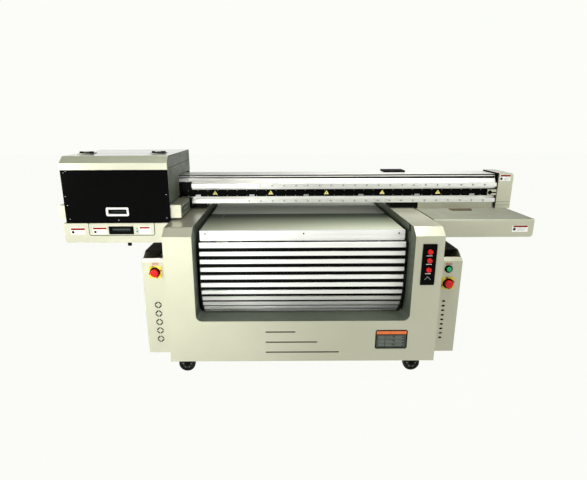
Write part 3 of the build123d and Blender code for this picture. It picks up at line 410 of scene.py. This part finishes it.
def add_lathe(bm, centre, axis, profile, steps=32, index=0, smooth=True):
    """Turn a profile of (radius, height) millimetres about an axis through a frame point; ends are closed."""
    way = Vector(axis).normalized()
    side = way.orthogonal().normalized()
    other = way.cross(side)
    rings = []
    for radius, height in profile:
        if radius < 1e-6:
            rings.append([bm.verts.new(centre + way * height * MM)])
            continue
        ring = []
        for i in range(steps):
            a = 2 * math.pi * i / steps
            ring.append(bm.verts.new(centre + way * height * MM
                                     + (side * math.cos(a) + other * math.sin(a)) * radius * MM))
        rings.append(ring)
    faces = []
    for one, two in zip(rings, rings[1:]):
        for i in range(steps):
            j = (i + 1) % steps
            corners = [one[i % len(one)], one[j % len(one)], two[j % len(two)], two[i % len(two)]]
            unique = list(dict.fromkeys(corners))
            if len(unique) > 2:
                faces.append(bm.faces.new(unique))
    for ring in (rings[0], rings[-1]):
        if len(ring) > 2:
            faces.append(bm.faces.new(ring))
    for f in faces:
        f.material_index = index
        f.smooth = smooth and len(f.verts) <= 4
    return faces


def add_tube(bm, points, radius, steps=8, closed=False, index=0):
    """A round tube through frame points, with mitred turns; radius in millimetres."""
    count = len(points)
    rings = []
    for i, p in enumerate(points):
        before = points[i - 1] if (i or closed) else None
        after = points[(i + 1) % count] if (i + 1 < count or closed) else None
        way_in = (p - before).normalized() if before is not None else (after - p).normalized()
        way_out = (after - p).normalized() if after is not None else way_in
        way = (way_in + way_out).normalized()
        up = Vector((0, 0, 1)) if abs(way.z) < 0.9 else Vector((0, 1, 0))
        side = way.cross(up).normalized()
        lift = side.cross(way).normalized()
        stretch = 1 / max(0.4, way.dot(way_out))
        ring = []
        for k in range(steps):
            a = 2 * math.pi * k / steps
            ring.append(bm.verts.new(p + (side * math.cos(a) * stretch + lift * math.sin(a)) * radius * MM))
        rings.append(ring)
    pairs = list(zip(rings, rings[1:])) + ([(rings[-1], rings[0])] if closed else [])
    for one, two in pairs:
        for k in range(steps):
            j = (k + 1) % steps
            f = bm.faces.new((one[k], one[j], two[j], two[k]))
            f.smooth = True
            f.material_index = index
    if not closed:
        bm.faces.new(rings[0]).material_index = index
        bm.faces.new(rings[-1]).material_index = index


# Turned profiles as (radius, height) in millimetres; those of the hubs count from the wheel's side.
RAIL_BOLT = ((4.3, 0), (4.3, 0.12), (3.6, 0.12), (3.6, 0.05), (0.0, 0.05))
TRACK_SCREW = ((1.8, -0.2), (1.8, 0.5), (1.0, 0.8))
HUB_CAP = ((26.0, -3.4), (26.0, -2.6), (24.0, -2.2), (15.0, -2.6), (13.5, -0.4), (9.6, -0.2), (9.6, -3.4))
HUB_RIVET = ((2.2, -2.6), (2.2, -1.7), (1.2, -1.4))
SCREW_HEAD = ((0.0, -0.2), (1.0, -0.2), (1.0, 0.35), (0.75, 0.6), (0.42, 0.62), (0.4, 0.3), (0.0, 0.3))


def add_screw(bm, point, axis, radius=2.6, index=0):
    """A button-head screw with a socket, standing out along an axis from a frame point."""
    profile = [(r * radius, h * radius) for r, h in SCREW_HEAD]
    return add_lathe(bm, point, axis, profile, 14, index)


# ---------------------------------------------------------------- settings
class PrinterSizes(bpy.types.PropertyGroup):
    """Sizes of the small parts that are not in the frame."""

    edge: bpy.props.FloatProperty(name="Edge rounding", description="Radius of folded and machined edges",
                                  default=1.2 * MM, unit="LENGTH")
    rail_pitch: bpy.props.FloatProperty(name="Rail bolt pitch", description="Distance between rail bolts",
                                        default=60 * MM, unit="LENGTH")
    sign_pitch: bpy.props.FloatProperty(name="Sign pitch", description="Distance between magnet track signs",
                                        default=286 * MM, unit="LENGTH")
    label_lift: bpy.props.FloatProperty(name="Label thickness", description="Thickness of a vinyl label",
                                        default=0.4 * MM, unit="LENGTH")


# Sine of the height above the horizon where the backdrop starts fading, and where it has faded.
SKY_LOW, SKY_HIGH = 0.24, 0.42
FLOOR_GLOW = 0.985               # the floor is lit from below, like a light table
FLOOR_HALF = 14.0                # metres from the middle to the floor's edge

# Each light: name, where it stands and aims in metres, width, height, watts, and spread in degrees.
LIGHTS = (("key_softbox", (-2.7, -2.3, 1.0), (-0.5, -0.45, 0.7), 0.9, 0.9, 78, 180),
          ("arm_softbox", (-0.6, -2.1, 0.85), (-0.58, -0.5, 0.5), 0.5, 0.9, 2.2, 42),
          ("fill_softbox", (2.2, -2.6, 1.6), (0.5, 0, 0.7), 1.4, 1.4, 26, 180),
          ("top_softbox", (0.55, -0.6, 2.4), (0.52, -0.3, 0.7), 0.9, 0.9, 9, 75))

CAMERA_PLACE = (-108, -1743, 1155)   # workshop millimetres
CAMERA_LENS, CAMERA_SHIFT = 26.37, 0.0264
CAMERA_PITCH, CAMERA_ROLL = 15.35, -0.26   # degrees down from level, and turned about the line of sight


class PrinterColours(bpy.types.PropertyGroup):
    """Colours of the stage."""

    room: bpy.props.FloatVectorProperty(name="Room", description="Colour of the dark room in front",
                                        subtype="COLOR", size=4, default=linear("2c2e29"), min=0, max=1)
    floor: bpy.props.FloatVectorProperty(name="Floor", description="Colour of the studio floor",
                                         subtype="COLOR", size=4, default=linear("fcfdf8"), min=0, max=1)
    light: bpy.props.FloatProperty(name="Studio light", description="Strength of the world light",
                                   default=1.0, min=0.0)


HINGE_Y = 380.0           # axis of the cover's hinges, behind the front panel's face
HOOD_OVER_WINDOW = 60.5   # from the window's upper edge to just above the hood's top
BOSS_REACH = 24.5         # just past the radius of an emergency stop's black boss
HINGE_RISE = 10.0         # how far the hinge knuckles stand above the hood's top


# ---------------------------------------------------------------- operators
class PRINTER_OT_stage(bpy.types.Operator):
    """Floor, studio lights and camera"""

    bl_idname = "printer.stage"
    bl_label = "Stage"

    def execute(self, context):
        scene = context.scene
        scene.view_settings.view_transform = "Standard"
        world = bpy.data.worlds.new("studio")
        scene.world = world
        world.use_nodes = True
        tree = world.node_tree
        sky = tree.nodes["Background"]
        sky.inputs["Strength"].default_value = scene.printer_colours.light
        # White backdrop behind the machine and up to SKY_LOW above the horizon, dark room elsewhere.
        way = tree.nodes.new("ShaderNodeTexCoord").outputs["Generated"]
        parts = add(tree, "ShaderNodeSeparateXYZ", [(way, "Vector")])
        behind = add(tree, "ShaderNodeMapRange", [(parts.outputs["Y"], "Value")],
                     From_Min=-0.25, From_Max=0.15)
        above = add(tree, "ShaderNodeMapRange", [(parts.outputs["Z"], "Value")],
                    From_Min=SKY_LOW, From_Max=SKY_HIGH, To_Min=1.0, To_Max=0.0)
        both = add(tree, "ShaderNodeMath", [(behind.outputs[0], 0), (above.outputs[0], 1)],
                   operation="MULTIPLY")
        ramp = add(tree, "ShaderNodeValToRGB", [(both.outputs[0], "Fac")])
        ramp.color_ramp.elements[0].color = scene.printer_colours.room
        ramp.color_ramp.elements[1].color = scene.printer_colours.floor
        tree.links.new(ramp.outputs["Color"], sky.inputs["Color"])
        floor_material, _, shader, _ = start("studio_floor", "161616", 0.9)
        shader.inputs["Specular IOR Level"].default_value = 0.0
        shader.inputs["Emission Color"].default_value = scene.printer_colours.floor
        shader.inputs["Emission Strength"].default_value = FLOOR_GLOW
        bm = bmesh.new()
        for x, y in ((-1, -1), (1, -1), (1, 1), (-1, 1)):
            bm.verts.new((x * FLOOR_HALF, y * FLOOR_HALF, 0.0))
        bm.faces.new(bm.verts)
        mesh = to_mesh("studio_floor", bm)
        floor = bpy.data.objects.new("studio_floor", mesh)
        mesh.materials.append(floor_material)
        scene.collection.objects.link(floor)
        for name, where, aim, width, height, power, spread in LIGHTS:
            lamp = bpy.data.lights.new(name, "AREA")
            lamp.shape = "RECTANGLE"
            lamp.size, lamp.size_y, lamp.energy = width, height, power
            lamp.spread = math.radians(spread)
            obj = bpy.data.objects.new(name, lamp)
            obj.location = where
            obj.rotation_euler = (Vector(aim) - Vector(where)).to_track_quat("-Z", "Y").to_euler()
            scene.collection.objects.link(obj)
        camera = bpy.data.cameras.new("camera")
        camera.sensor_width = 36.0
        camera.lens = CAMERA_LENS
        camera.shift_x = CAMERA_SHIFT
        camera.clip_end = 60.0
        obj = bpy.data.objects.new("camera", camera)
        obj.location = at(*CAMERA_PLACE)
        tilt, roll = math.radians(90 - CAMERA_PITCH), math.radians(CAMERA_ROLL)
        obj.matrix_world = (Matrix.Translation(obj.location) @ Matrix.Rotation(tilt, 4, "X")
                            @ Matrix.Rotation(roll, 4, "Z"))
        scene.collection.objects.link(obj)
        scene.camera = obj
        return {"FINISHED"}


class PRINTER_OT_finishes(bpy.types.Operator):
    """Finishes and softened edges of the CAD parts"""

    bl_idname = "printer.finishes"
    bl_label = "Finishes"

    def execute(self, context):
        make_materials()
        for name, obj in NODES.items():
            obj.data.materials.clear()
            obj.data.materials.append(MATERIALS[finish_of(name)])
        inner = span("front_panel")[1].x - 60
        # The inner walls of the arms and of the front opening are dark grey: painted shade.
        paint_faces("arm_covers", "recess", lambda c, n: n.z < 0.5 and abs(c.x) < inner)
        paint_faces("front_panel", "recess", lambda c, n: abs(n.x) > 0.9 and abs(c.x) < inner)
        low, high = span("cover_hood")
        hinge = within(y=(HINGE_Y - 60, HINGE_Y + 60), z=(high.z - HINGE_RISE - 0.5, high.z + 20))
        for node in ("cover_hood", "housing_shell"):
            paint_faces(node, "black_steel",
                        lambda c, n: hinge(c, n) and c.z > span("window")[1].z + HOOD_OVER_WINDOW)
        # The hood's right side gets the dark side coat: painted shade.
        paint_faces("cover_hood", "side", within(axis=(1, 0, 0)))
        # The tops of the hood and the housing get the near-white lid coat: painted light.
        top = within(axis=(0, 0, 1), least=0.95)
        for node in ("cover_hood", "housing_shell"):
            paint_faces(node, "lid", lambda c, n: top(c, n) and abs(high.z - HINGE_RISE - c.z) < 4)
        # The hood's sloped front gets a lighter coat than the cream: painted light.
        paint_faces("cover_hood", "bevel", within(axis=(0, -0.707, 0.707), least=0.9))
        # The housing shell is dark all over but for its left faces, which stay cream: painted shade.
        paint_faces("housing_shell", "cream", within(axis=(-1, 0, 0)))
        front = span("side_cabinets")[0].y
        # Only the left cabinet's sloped front gets white: painted light.
        paint_faces("side_cabinets", "white", within(axis=(0, -0.8, 0.6), least=0.85, x=(-5000, 0),
                                                   z=(span("side_cabinets")[1].z - 40, 2000)))
        boss = within(y=(front - 8.5, front - 5.1))
        paint_faces("estop_guards", "gap", lambda c, n: boss(c, n) and near_switch(c, BOSS_REACH)
                    and (abs(n.y) < 0.5 or c.y < front - 7.5))
        low, high = span("left_tray")
        paint_faces("left_tray", "gap", within(z=(low.z - 1, low.z + 17.5), y=(low.y, low.y + 30)))
        low, high = span("end_cap")
        paint_faces("end_cap", "gap", within(x=(low.x - 1, high.x - 60), axis=(-1, 0, 0), least=0.9))
        low, high = span("beam")
        paint_faces("beam", "gap", within(y=(low.y + 8, low.y + 20), z=(high.z - 18, high.z - 10)))
        # The right end of the lamps gets the dark side coat: painted shade.
        low, high = span("uv_lamps")
        paint_faces("uv_lamps", "side", within(x=(high.x - 5, high.x + 5), axis=(1, 0, 0)))
        # The right tray's top gets a darker coat than its cream sides: painted shade.
        low, high = span("right_tray")
        paint_faces("right_tray", "tray_top", within(axis=(0, 0, 1), least=0.9))
        width = context.scene.printer_sizes.edge
        for name in EDGED:
            weld = NODES[name].modifiers.new("weld", "WELD")
            weld.merge_threshold = 0.01 * MM
            edge = NODES[name].modifiers.new("edge", "BEVEL")
            edge.width = width
            edge.segments = 2
            edge.limit_method = "ANGLE"
            edge.angle_limit = math.radians(50)
        return {"FINISHED"}


def near_switch(point, reach):
    """Whether a workshop point is within reach millimetres of an emergency stop's axis."""
    for side in ("left", "right"):
        low, high = span("estop_button_" + side)
        if math.hypot(point.x - (low.x + high.x) / 2, point.z - (low.z + high.z) / 2) < reach:
            return True
    return False


# Nodes whose folded or machined edges catch a line of light.
EDGED = ("front_slats", "table_plate", "uv_lamps", "head_carrier", "button_panels", "window",
         "electronics_box")


def add_label(bm, x0, x1, z0, z1, y, header=None, mark=None, lift=0.5):
    """A vinyl label on a face towards -Y: white field 0, orange header 1, black dot 2, grey lines 3."""
    field = [at(x, y - lift, z) for x, z in round_rect(x0, x1, z0, z1, 2.0)]
    add_outline(bm, field, Vector((0, lift * MM, 0)), 0)
    if header:
        left, right, bottom, top = header
        add_block(bm, (left, y - lift - 0.25, bottom), (right, y - lift + 0.1, top), index=1)
    if mark:
        dot = ((6.4, 0), (6.4, 0.4))
        add_lathe(bm, at(mark[0], y - lift + 0.1, mark[1]), TO_FRONT, dot, 16, 2, False)
        for row in range(3):
            z = mark[1] + 3.5 - row * 4.5
            add_block(bm, (mark[0] + 12, y - lift - 0.2, z - 0.6),
                      (x1 - 7 - row * 5, y - lift + 0.1, z + 0.6), index=3)


# Screws of the window, right and up from its upper left corner.
WINDOW_SCREWS = ((14, -12), (26, -6), (11, -118), (16, -159), (18, -222), (241, -228), (462, -219),
                 (466, -112))

LABEL_FINISH = ("label", "orange", "ink", "pale_print")


class PRINTER_OT_body_marks(bpy.types.Operator):
    """Nameplate, button panel print and cabinet strips"""

    bl_idname = "printer.body_marks"
    bl_label = "Body marks"

    def execute(self, context):
        # Rating plate: black frame, orange header, printed rows left as plain bars.
        bm = bmesh.new()
        cx, cz, w, h = 398, 212, 71.5, 46
        add_outline(bm, [at(x, -1.2, z) for x, z in round_rect(cx - w, cx + w, cz - h, cz + h, 5)],
                    Vector((0, 1.2 * MM, 0)), 0)
        add_block(bm, (cx - w + 5, -1.7, cz + h - 20), (cx + w - 5, -1.1, cz + h - 5), 0.2, index=1)
        add_block(bm, (cx - w + 5, -1.6, cz - h + 6), (cx + w - 5, -1.1, cz + h - 22), 0.2, index=2)
        for row in range(8):
            z = cz + h - 30 - row * 6.6
            for x0, x1 in ((-58, -30), (-26, 4 + row % 3 * 6), (16, 56 - row % 2 * 9)):
                add_block(bm, (cx + x0, -1.8, z - 0.7), (cx + x1, -1.5, z + 0.7), index=3)
        for dx, dz in ((-1, -1), (-1, 1), (1, -1), (1, 1)):
            add_lathe(bm, at(cx + dx * (w - 2.7), -1.1, cz + dz * (h - 2.7)), TO_FRONT,
                      ((1.6, 0), (1.6, 0.4), (0.8, 0.7)), 10, 4)
        put("rating_plate", bm, ("ink", "amber", "plate", "pale_print", "zinc"), "base")

        # Bars under the push buttons, an arrow below them and corner screws.
        bm = bmesh.new()
        x = span("red_button_1")[0].x / 2 + span("red_button_1")[1].x / 2
        for number in (1, 2, 3):
            z = span("red_button_%d" % number)[0].z - 7.5
            for k in range(5):
                add_block(bm, (x - 12 + k * 5, -3.5, z - 1.7), (x - 8.6 + k * 5, -2.9, z + 1.7), index=0)
        for dx, dz in ((-24, 177), (24, 177), (-24, 7), (24, 7)):
            add_screw(bm, at(x + dx, -3.0, 472 + dz), TO_FRONT, 2.4, 1)
        for side in (-1, 1):
            add_outline(bm, [at(x, -3.4, 512), at(x + side * 13, -3.4, 498), at(x + side * 13, -3.4, 495.5),
                             at(x, -3.4, 509)], Vector((0, 0.6 * MM, 0)), 2)
        put("button_print", bm, ("label", "black_steel", "pale_print"), "base")

        # Orange strips over the switches on the side cabinets.
        bm = bmesh.new()
        front = span("side_cabinets")[0].y
        for x, z in ((-658, 545), (657, 539)):
            add_block(bm, (x - 14, front - 0.6, z - 4), (x + 14, front + 0.2, z + 4), 0.2, index=0)
            add_block(bm, (x - 12, front - 0.8, z - 0.7), (x + 12, front - 0.5, z + 0.7), index=1)
        put("switch_strips", bm, ("strip", "label"), "base")

        # Dark sheets behind the vents, painted shade, so no light shows through them.
        bm = bmesh.new()
        for x0, x1, z0, z1, y in ((-172, 172, 140, 262, 3.0), (-690, -628, 150, 372, front + 2.6),
                                  (632, 682, 150, 378, front + 2.6)):
            add_block(bm, (x0, y, z0), (x1, y + 2.0, z1), 0.4, index=0)
        put("vent_shade_sheets", bm, "gap", "base")

        # Turn arrows on the guards.
        bm = bmesh.new()
        for x, z in ((-660, 507), (660, 448)):
            for turn in range(4):
                a = math.radians(90 * turn + 8)
                b = math.radians(90 * turn + 44)
                ring = [at(x + 27.5 * math.cos(a + (b - a) * k / 4), front - 5.4,
                           z + 27.5 * math.sin(a + (b - a) * k / 4)) for k in range(5)]
                add_tube(bm, ring, 1.9, 6)
        put("guard_arrows", bm, "orange", "base")
        return {"FINISHED"}


class PRINTER_OT_housing_marks(bpy.types.Operator):
    """Screws, seams, handle insert, tray labels and display window of the head housing"""

    bl_idname = "printer.housing_marks"
    bl_label = "Housing marks"

    def execute(self, context):
        low, high = span("window")
        bm = bmesh.new()
        for dx, dz in WINDOW_SCREWS:
            add_screw(bm, at(low.x + dx, low.y - 0.1, high.z + dz), TO_FRONT, 2.0, 0)
        put("window_screws", bm, "zinc", "cover")

        # Dark well behind the satin ring of the pull.
        a, b = span("pull_handle")
        bm = bmesh.new()
        add_block(bm, (a.x + 9.2, a.y + 6.6, a.z + 9.2), (b.x - 9.2, a.y + 8.6, b.z - 9.2), 0.4, index=0)
        middle = (a.z + b.z) / 2
        add_block(bm, (a.x + 24, a.y + 5.6, middle - 4), (b.x - 14, a.y + 6.9, middle + 4), 1.0, index=1)
        put("pull_insert", bm, ("black_plastic", "lcd"), "cover")

        # Labels on the front of the left tray and control panel.
        bm = bmesh.new()
        front = span("left_tray")[0].y
        add_label(bm, -1063, -996, 659, 690, front, (-1061, -997, 678, 688), (-1052, 669))
        panel = span("control_panel")[0].y
        add_label(bm, -960, -896, 660, 692, panel, (-958, -896.5, 681.5, 690.5), (-949, 670))
        add_label(bm, -746, -694, 662, 695, panel, (-744, -696.5, 684.5, 693.5), None)
        put("tray_labels", bm, LABEL_FINISH, "gantry")
        bm = bmesh.new()
        for z, r in ((686, 3.4), (672, 5.0)):
            add_lathe(bm, at(-756, panel + 0.1, z), TO_FRONT, ((r, 0), (r, 0.8), (r * 0.6, 1.4)), 18, 0)
        put("panel_lamps", bm, "teal", "gantry")

        # Display: a lighter window inside the glass.
        low, high = span("lcd_display")
        bm = bmesh.new()
        add_block(bm, (low.x + 16, low.y - 0.5, low.z + 15),
                  (high.x - 14, low.y + 0.2, high.z - 6), 0.2, index=0)
        for k in range(11):
            x = low.x + 22 + k * 7
            add_block(bm, (x, low.y - 0.6, low.z + 20), (x + 4.6, low.y - 0.3, high.z - 12), index=1)
        put("display_window", bm, ("lcd", "plate"), "gantry")

        # Seam round the control panel, and seams and screws along the sides of the housing.
        bm = bmesh.new()
        low, high = span("control_panel")
        y = span("left_tray")[0].y - 0.5
        path = [at(low.x - 1, y, high.z + 2), at(low.x - 1, y, low.z + 8), at(low.x + 2, y, low.z + 1.5),
                at(low.x + 8, y, low.z - 1), at(high.x - 8, y, low.z - 1), at(high.x - 2, y, low.z + 1.5),
                at(high.x + 1, y, low.z + 8), at(high.x + 1, y, high.z + 2)]
        add_tube(bm, path, 1.7)
        put("panel_seam", bm, "gap", "gantry")
        side = span("housing_shell")
        bm = bmesh.new()
        x = side[1].x
        add_tube(bm, [at(x, 205, 957), at(x, side[1].y - 2, 957)], 0.9)
        add_tube(bm, [at(side[0].x, 205, 957), at(side[0].x, side[1].y - 2, 957)], 0.9)
        for edge in (side[0].x, x):
            for y in (235, 330, 480, 600, 660):
                add_screw(bm, at(edge, y, 940), (1 if edge == x else -1, 0, 0), 2.2, 1)
        put("housing_seams", bm, ("gap", "black_steel"), "gantry")

        # Outline and vent bars on the end of the right lamp.
        low, high = span("uv_lamps")
        bm = bmesh.new()
        x = high.x
        rim = [at(x, low.y + 12, low.z + 8), at(x, high.y - 12, low.z + 8), at(x, high.y - 12, high.z - 8),
               at(x, low.y + 12, high.z - 8)]
        add_tube(bm, rim, 0.8, closed=True)
        for k in range(4):
            y = low.y + 60 + k * 22
            add_block(bm, (x - 0.3, y, low.z + 24), (x + 0.8, y + 16, low.z + 34), 0.3, index=1)
        put("lamp_marks", bm, ("label", "pale_print"), "carriage")
        return {"FINISHED"}


class PRINTER_OT_beam_marks(bpy.types.Operator):
    """Rail bolts, track signs, clips and lines of the gantry beam and end cap"""

    bl_idname = "printer.beam_marks"
    bl_label = "Beam marks"

    def execute(self, context):
        sizes = context.scene.printer_sizes
        low, high = span("x_rails")
        bm = bmesh.new()
        count = int((high.x - low.x) * MM / sizes.rail_pitch)
        for k in range(count):
            x = low.x + 30 + k * sizes.rail_pitch / MM
            for z in (low.z + 10, high.z - 10):
                add_lathe(bm, at(x, low.y + 0.05, z), TO_FRONT, RAIL_BOLT, 14, 0, False)
        put("rail_bolts", bm, "gap", "gantry")

        track = span("magnet_track")
        bm = bmesh.new()
        y = track[0].y
        middle = (track[0].z + track[1].z) / 2 + 1
        for k in range(5):
            x = -430 + k * sizes.sign_pitch / MM
            sign = ((-13, -9), (13, -9), (1, 10), (-1, 10))
            add_outline(bm, [at(x + dx, y - 0.4, middle + dz) for dx, dz in sign],
                        Vector((0, 0.5 * MM, 0)), 0)
            add_block(bm, (x - 1, y - 0.6, middle - 3), (x + 1, y - 0.35, middle + 4), index=1)
            add_block(bm, (x - 1, y - 0.6, middle - 6.4), (x + 1, y - 0.35, middle - 4.4), index=1)
        put("track_signs", bm, ("triangle", "ink"), "gantry")
        bm = bmesh.new()
        for x in (-517, -241, 38, 319, 608, 890):
            add_block(bm, (x - 13, y - 1.4, track[0].z + 1), (x + 13, y + 0.2, track[0].z + 10), 0.5, index=0)
        for k in range(int((track[1].x - track[0].x - 60) / 50)):
            for z in (track[0].z + 5, track[1].z - 5):
                add_lathe(bm, at(track[0].x + 40 + k * 50, y + 0.1, z), TO_FRONT, TRACK_SCREW, 8, 0)
        put("track_clips", bm, "zinc", "gantry")

        # Joints between magnet plates.
        bm = bmesh.new()
        for k in range(1, 8):
            x = track[0].x + k * 256
            add_block(bm, (x - 0.8, y - 0.25, track[0].z), (x + 0.8, y + 0.1, track[1].z), index=0)
        # Black strips along the top of the beam.
        beam = span("beam")
        face = beam[0].y + 16
        add_block(bm, (beam[0].x + 1, face - 1.2, beam[1].z - 6),
                  (beam[1].x - 1, face + 0.2, beam[1].z - 0.3), 0.3, index=1)
        put("beam_strips", bm, ("ink", "gap"), "gantry")

        # End stop: hooked buffer over the track's end.
        bm = bmesh.new()
        stop = span("end_cap")
        x0 = stop[0].x
        eye = ((0.0, 0), (10.5, 0), (10.5, 0.3))
        add_lathe(bm, at(x0 + 12, stop[0].y - 0.4, 804), TO_FRONT, eye, 24, 0, False)
        add_block(bm, (x0 + 12, stop[0].y - 0.7, 800), (x0 + 44, stop[0].y + 0.1, 806), 0.3, index=0)
        put("buffer_mark", bm, "gap", "gantry")

        bm = bmesh.new()
        front = span("end_cap")[0].y
        add_label(bm, 1017, 1069, 862, 893, front, (1018, 1068, 884, 892), (1024, 873))
        put("cap_label", bm, LABEL_FINISH, "gantry")
        bm = bmesh.new()
        for z in (739, 755):
            add_block(bm, (1009, front - 0.3, z - 0.6), (1083.6, front + 0.1, z + 0.6), index=0)
        add_tube(bm, [at(1009.5, front, 723), at(1009.5, front, 900)], 1.0)
        put("cap_seams", bm, "gap", "gantry")
        return {"FINISHED"}


class PRINTER_OT_tray_marks(bpy.types.Operator):
    """Labels and felt pad of the right tray"""

    bl_idname = "printer.tray_marks"
    bl_label = "Tray marks"

    def execute(self, context):
        low, high = span("right_tray")
        front, top = low.y, 721
        bm = bmesh.new()
        add_label(bm, high.x - 98, high.x - 26, 661, 692, front, (high.x - 94, high.x - 28, 683, 691),
                  (high.x - 88, 674))
        add_label(bm, low.x + 1, low.x + 18, 662, 690, front, (low.x + 1, low.x + 17, 681, 689), None)
        put("right_labels", bm, LABEL_FINISH, "gantry")
        bm = bmesh.new()
        add_outline(bm, [at(770, 378, top), at(868, 378, top), at(882, 424, top), at(766, 424, top)],
                    Vector((0, 0, 2.2 * MM)), 0)
        put("felt_pad", bm, "sponge", "gantry")
        return {"FINISHED"}


class PRINTER_OT_table_marks(bpy.types.Operator):
    """Screws, seams, a plug and vacuum holes of the table"""

    bl_idname = "printer.table_marks"
    bl_label = "Table marks"

    def execute(self, context):
        low, high = span("table_plate")
        front = span("table_front_rail")[0].y
        bm = bmesh.new()
        for x in (-432, 6, 430):
            add_screw(bm, at(x, front - 0.1, high.z - 13), TO_FRONT, 3.4, 0)
        put("rail_screws", bm, "ink", "table")
        bm = bmesh.new()
        add_block(bm, (low.x + 70, low.y + 70, high.z - 0.2),
                  (low.x + 71.2, low.y + 560, high.z + 0.25), index=0)
        add_block(bm, (low.x + 1, low.y + 0.5, high.z - 0.2),
                  (high.x - 1, low.y + 1.7, high.z + 0.2), index=0)
        plug = ((0.0, 0.1), (5.5, 0.1), (6.5, 0.3), (6.5, -0.2))
        add_lathe(bm, at(-160, 330, high.z), UP, plug, 18, 0)
        # The holes are dark grey discs on the plate: painted shade inside them.
        for i in range(29):
            for j in range(19):
                x, y = low.x + 37 + i * 30, low.y + 70 + j * 30
                add_lathe(bm, at(x, y, high.z), UP, ((0.9, -0.1), (0.9, 0.08)), 6, 0, False)
        put("vacuum_holes", bm, "recess", "table")
        return {"FINISHED"}


class PRINTER_OT_wheel_parts(bpy.types.Operator):
    """Hub caps and rivets of the casters"""

    bl_idname = "printer.wheel_parts"
    bl_label = "Wheel parts"

    def execute(self, context):
        for spot in ("front_left", "front_right", "rear_left", "rear_right"):
            low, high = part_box("caster_wheel_" + spot)
            middle = (low + high) / 2
            across = Vector((1, 0, 0)) if high.x - low.x < high.y - low.y else Vector((0, 1, 0))
            half = (high.x - low.x if across.x else high.y - low.y) / 2 / MM
            bm = bmesh.new()
            for side in (-1, 1):
                add_lathe(bm, middle, across * side, [(r, half + h) for r, h in HUB_CAP], 36, 0)
                for k in range(6):
                    a = math.radians(60 * k)
                    spoke = (across.cross(UP) * math.cos(a) + UP * math.sin(a)) * 20 * MM
                    add_lathe(bm, middle + spoke, across * side, [(r, half + h) for r, h in HUB_RIVET], 10, 1)
            put("hub_" + spot, bm, ("hub", "zinc"), "wheel_" + spot)
        return {"FINISHED"}


class PRINTER_OT_back_and_sides(bpy.types.Operator):
    """Door seams, handles, vents and sockets seen from the sides and the back"""

    bl_idname = "printer.back_and_sides"
    bl_label = "Back and sides"

    def execute(self, context):
        y = span("rear_panel")[1].y
        bm = bmesh.new()
        for left, right in ((-430, -20), (20, 430)):
            door = [at(x, y, z) for x, z in round_rect(left, right, 140, 620, 10, 2)]
            add_tube(bm, door, 0.9, closed=True)
        for x in (-540, 540):
            for z in (130, 330, 530, 690):
                add_screw(bm, at(x, y, z), (0, 1, 0), 4.0, 1)
        for cx in (-60, 60):
            add_block(bm, (cx - 14, y - 0.5, 370), (cx + 14, y + 3, 450), 1.5, index=2)
            add_block(bm, (cx - 9, y + 2.8, 376), (cx + 9, y + 5, 444), 1.0, index=1)
        add_block(bm, (470, y - 0.5, 150), (535, y + 4, 196), 1.5, index=2)
        add_block(bm, (478, y + 3.5, 158), (510, y + 6, 188), 1.0, index=1)
        add_block(bm, (516, y + 3.5, 162), (529, y + 7, 184), 1.0, index=3)
        put("rear_fittings", bm, ("gap", "zinc", "black_plastic", "red"), "base")

        left, right = span("side_cabinets")
        bm = bmesh.new()
        for x, way in ((left.x, -1), (right.x, 1)):
            outline = [at(x, cy, cz) for cy, cz in round_rect(150, 1040, 150, 535, 8, 2)]
            add_tube(bm, outline, 0.9, closed=True)
            for cy in (165, 600, 1025):
                for cz in (165, 520):
                    add_screw(bm, at(x, cy, cz), (way, 0, 0), 3.2, 1)
            for k in range(9):
                z = 200 + k * 16
                a, b = sorted((x - way * 0.4, x + way * 1.6))
                add_block(bm, (a, 760, z), (b, 960, z + 7), 0.7, index=2)
        put("side_fittings", bm, ("gap", "zinc", "black_steel"), "base")
        return {"FINISHED"}


OPERATORS = (PRINTER_OT_stage, PRINTER_OT_finishes, PRINTER_OT_body_marks, PRINTER_OT_housing_marks,
             PRINTER_OT_beam_marks, PRINTER_OT_tray_marks, PRINTER_OT_table_marks, PRINTER_OT_wheel_parts,
             PRINTER_OT_back_and_sides)


class PRINTER_PT_panel(bpy.types.Panel):
    """Lists the printer's operators"""

    bl_idname = "PRINTER_PT_panel"
    bl_label = "Printer"
    bl_space_type = "VIEW_3D"
    bl_region_type = "UI"
    bl_category = "Printer"

    def draw(self, context):
        for group in (context.scene.printer_sizes, context.scene.printer_colours):
            for key in group.bl_rna.properties.keys():
                if key not in ("rna_type", "name"):
                    self.layout.prop(group, key)
        for operator in OPERATORS:
            self.layout.operator(operator.bl_idname)


CLASSES = (PrinterSizes, PrinterColours, *OPERATORS, PRINTER_PT_panel)


def register():
    """Add the classes, and the settings to the scene."""
    for cls in CLASSES:
        bpy.utils.register_class(cls)
    bpy.types.Scene.printer_sizes = bpy.props.PointerProperty(type=PrinterSizes)
    bpy.types.Scene.printer_colours = bpy.props.PointerProperty(type=PrinterColours)


def unregister():
    """Take the settings and the classes away again."""
    del bpy.types.Scene.printer_sizes
    del bpy.types.Scene.printer_colours
    for cls in reversed(CLASSES):
        bpy.utils.unregister_class(cls)


def main():
    """Build every piece in order."""
    for obj in list(bpy.data.objects):
        if obj.name in ("Cube", "Light", "Camera"):
            bpy.data.objects.remove(obj)
    register()
    for operator in OPERATORS:
        group, name = operator.bl_idname.split(".")
        getattr(getattr(bpy.ops, group), name)()


if __name__ == "__main__":
    main()
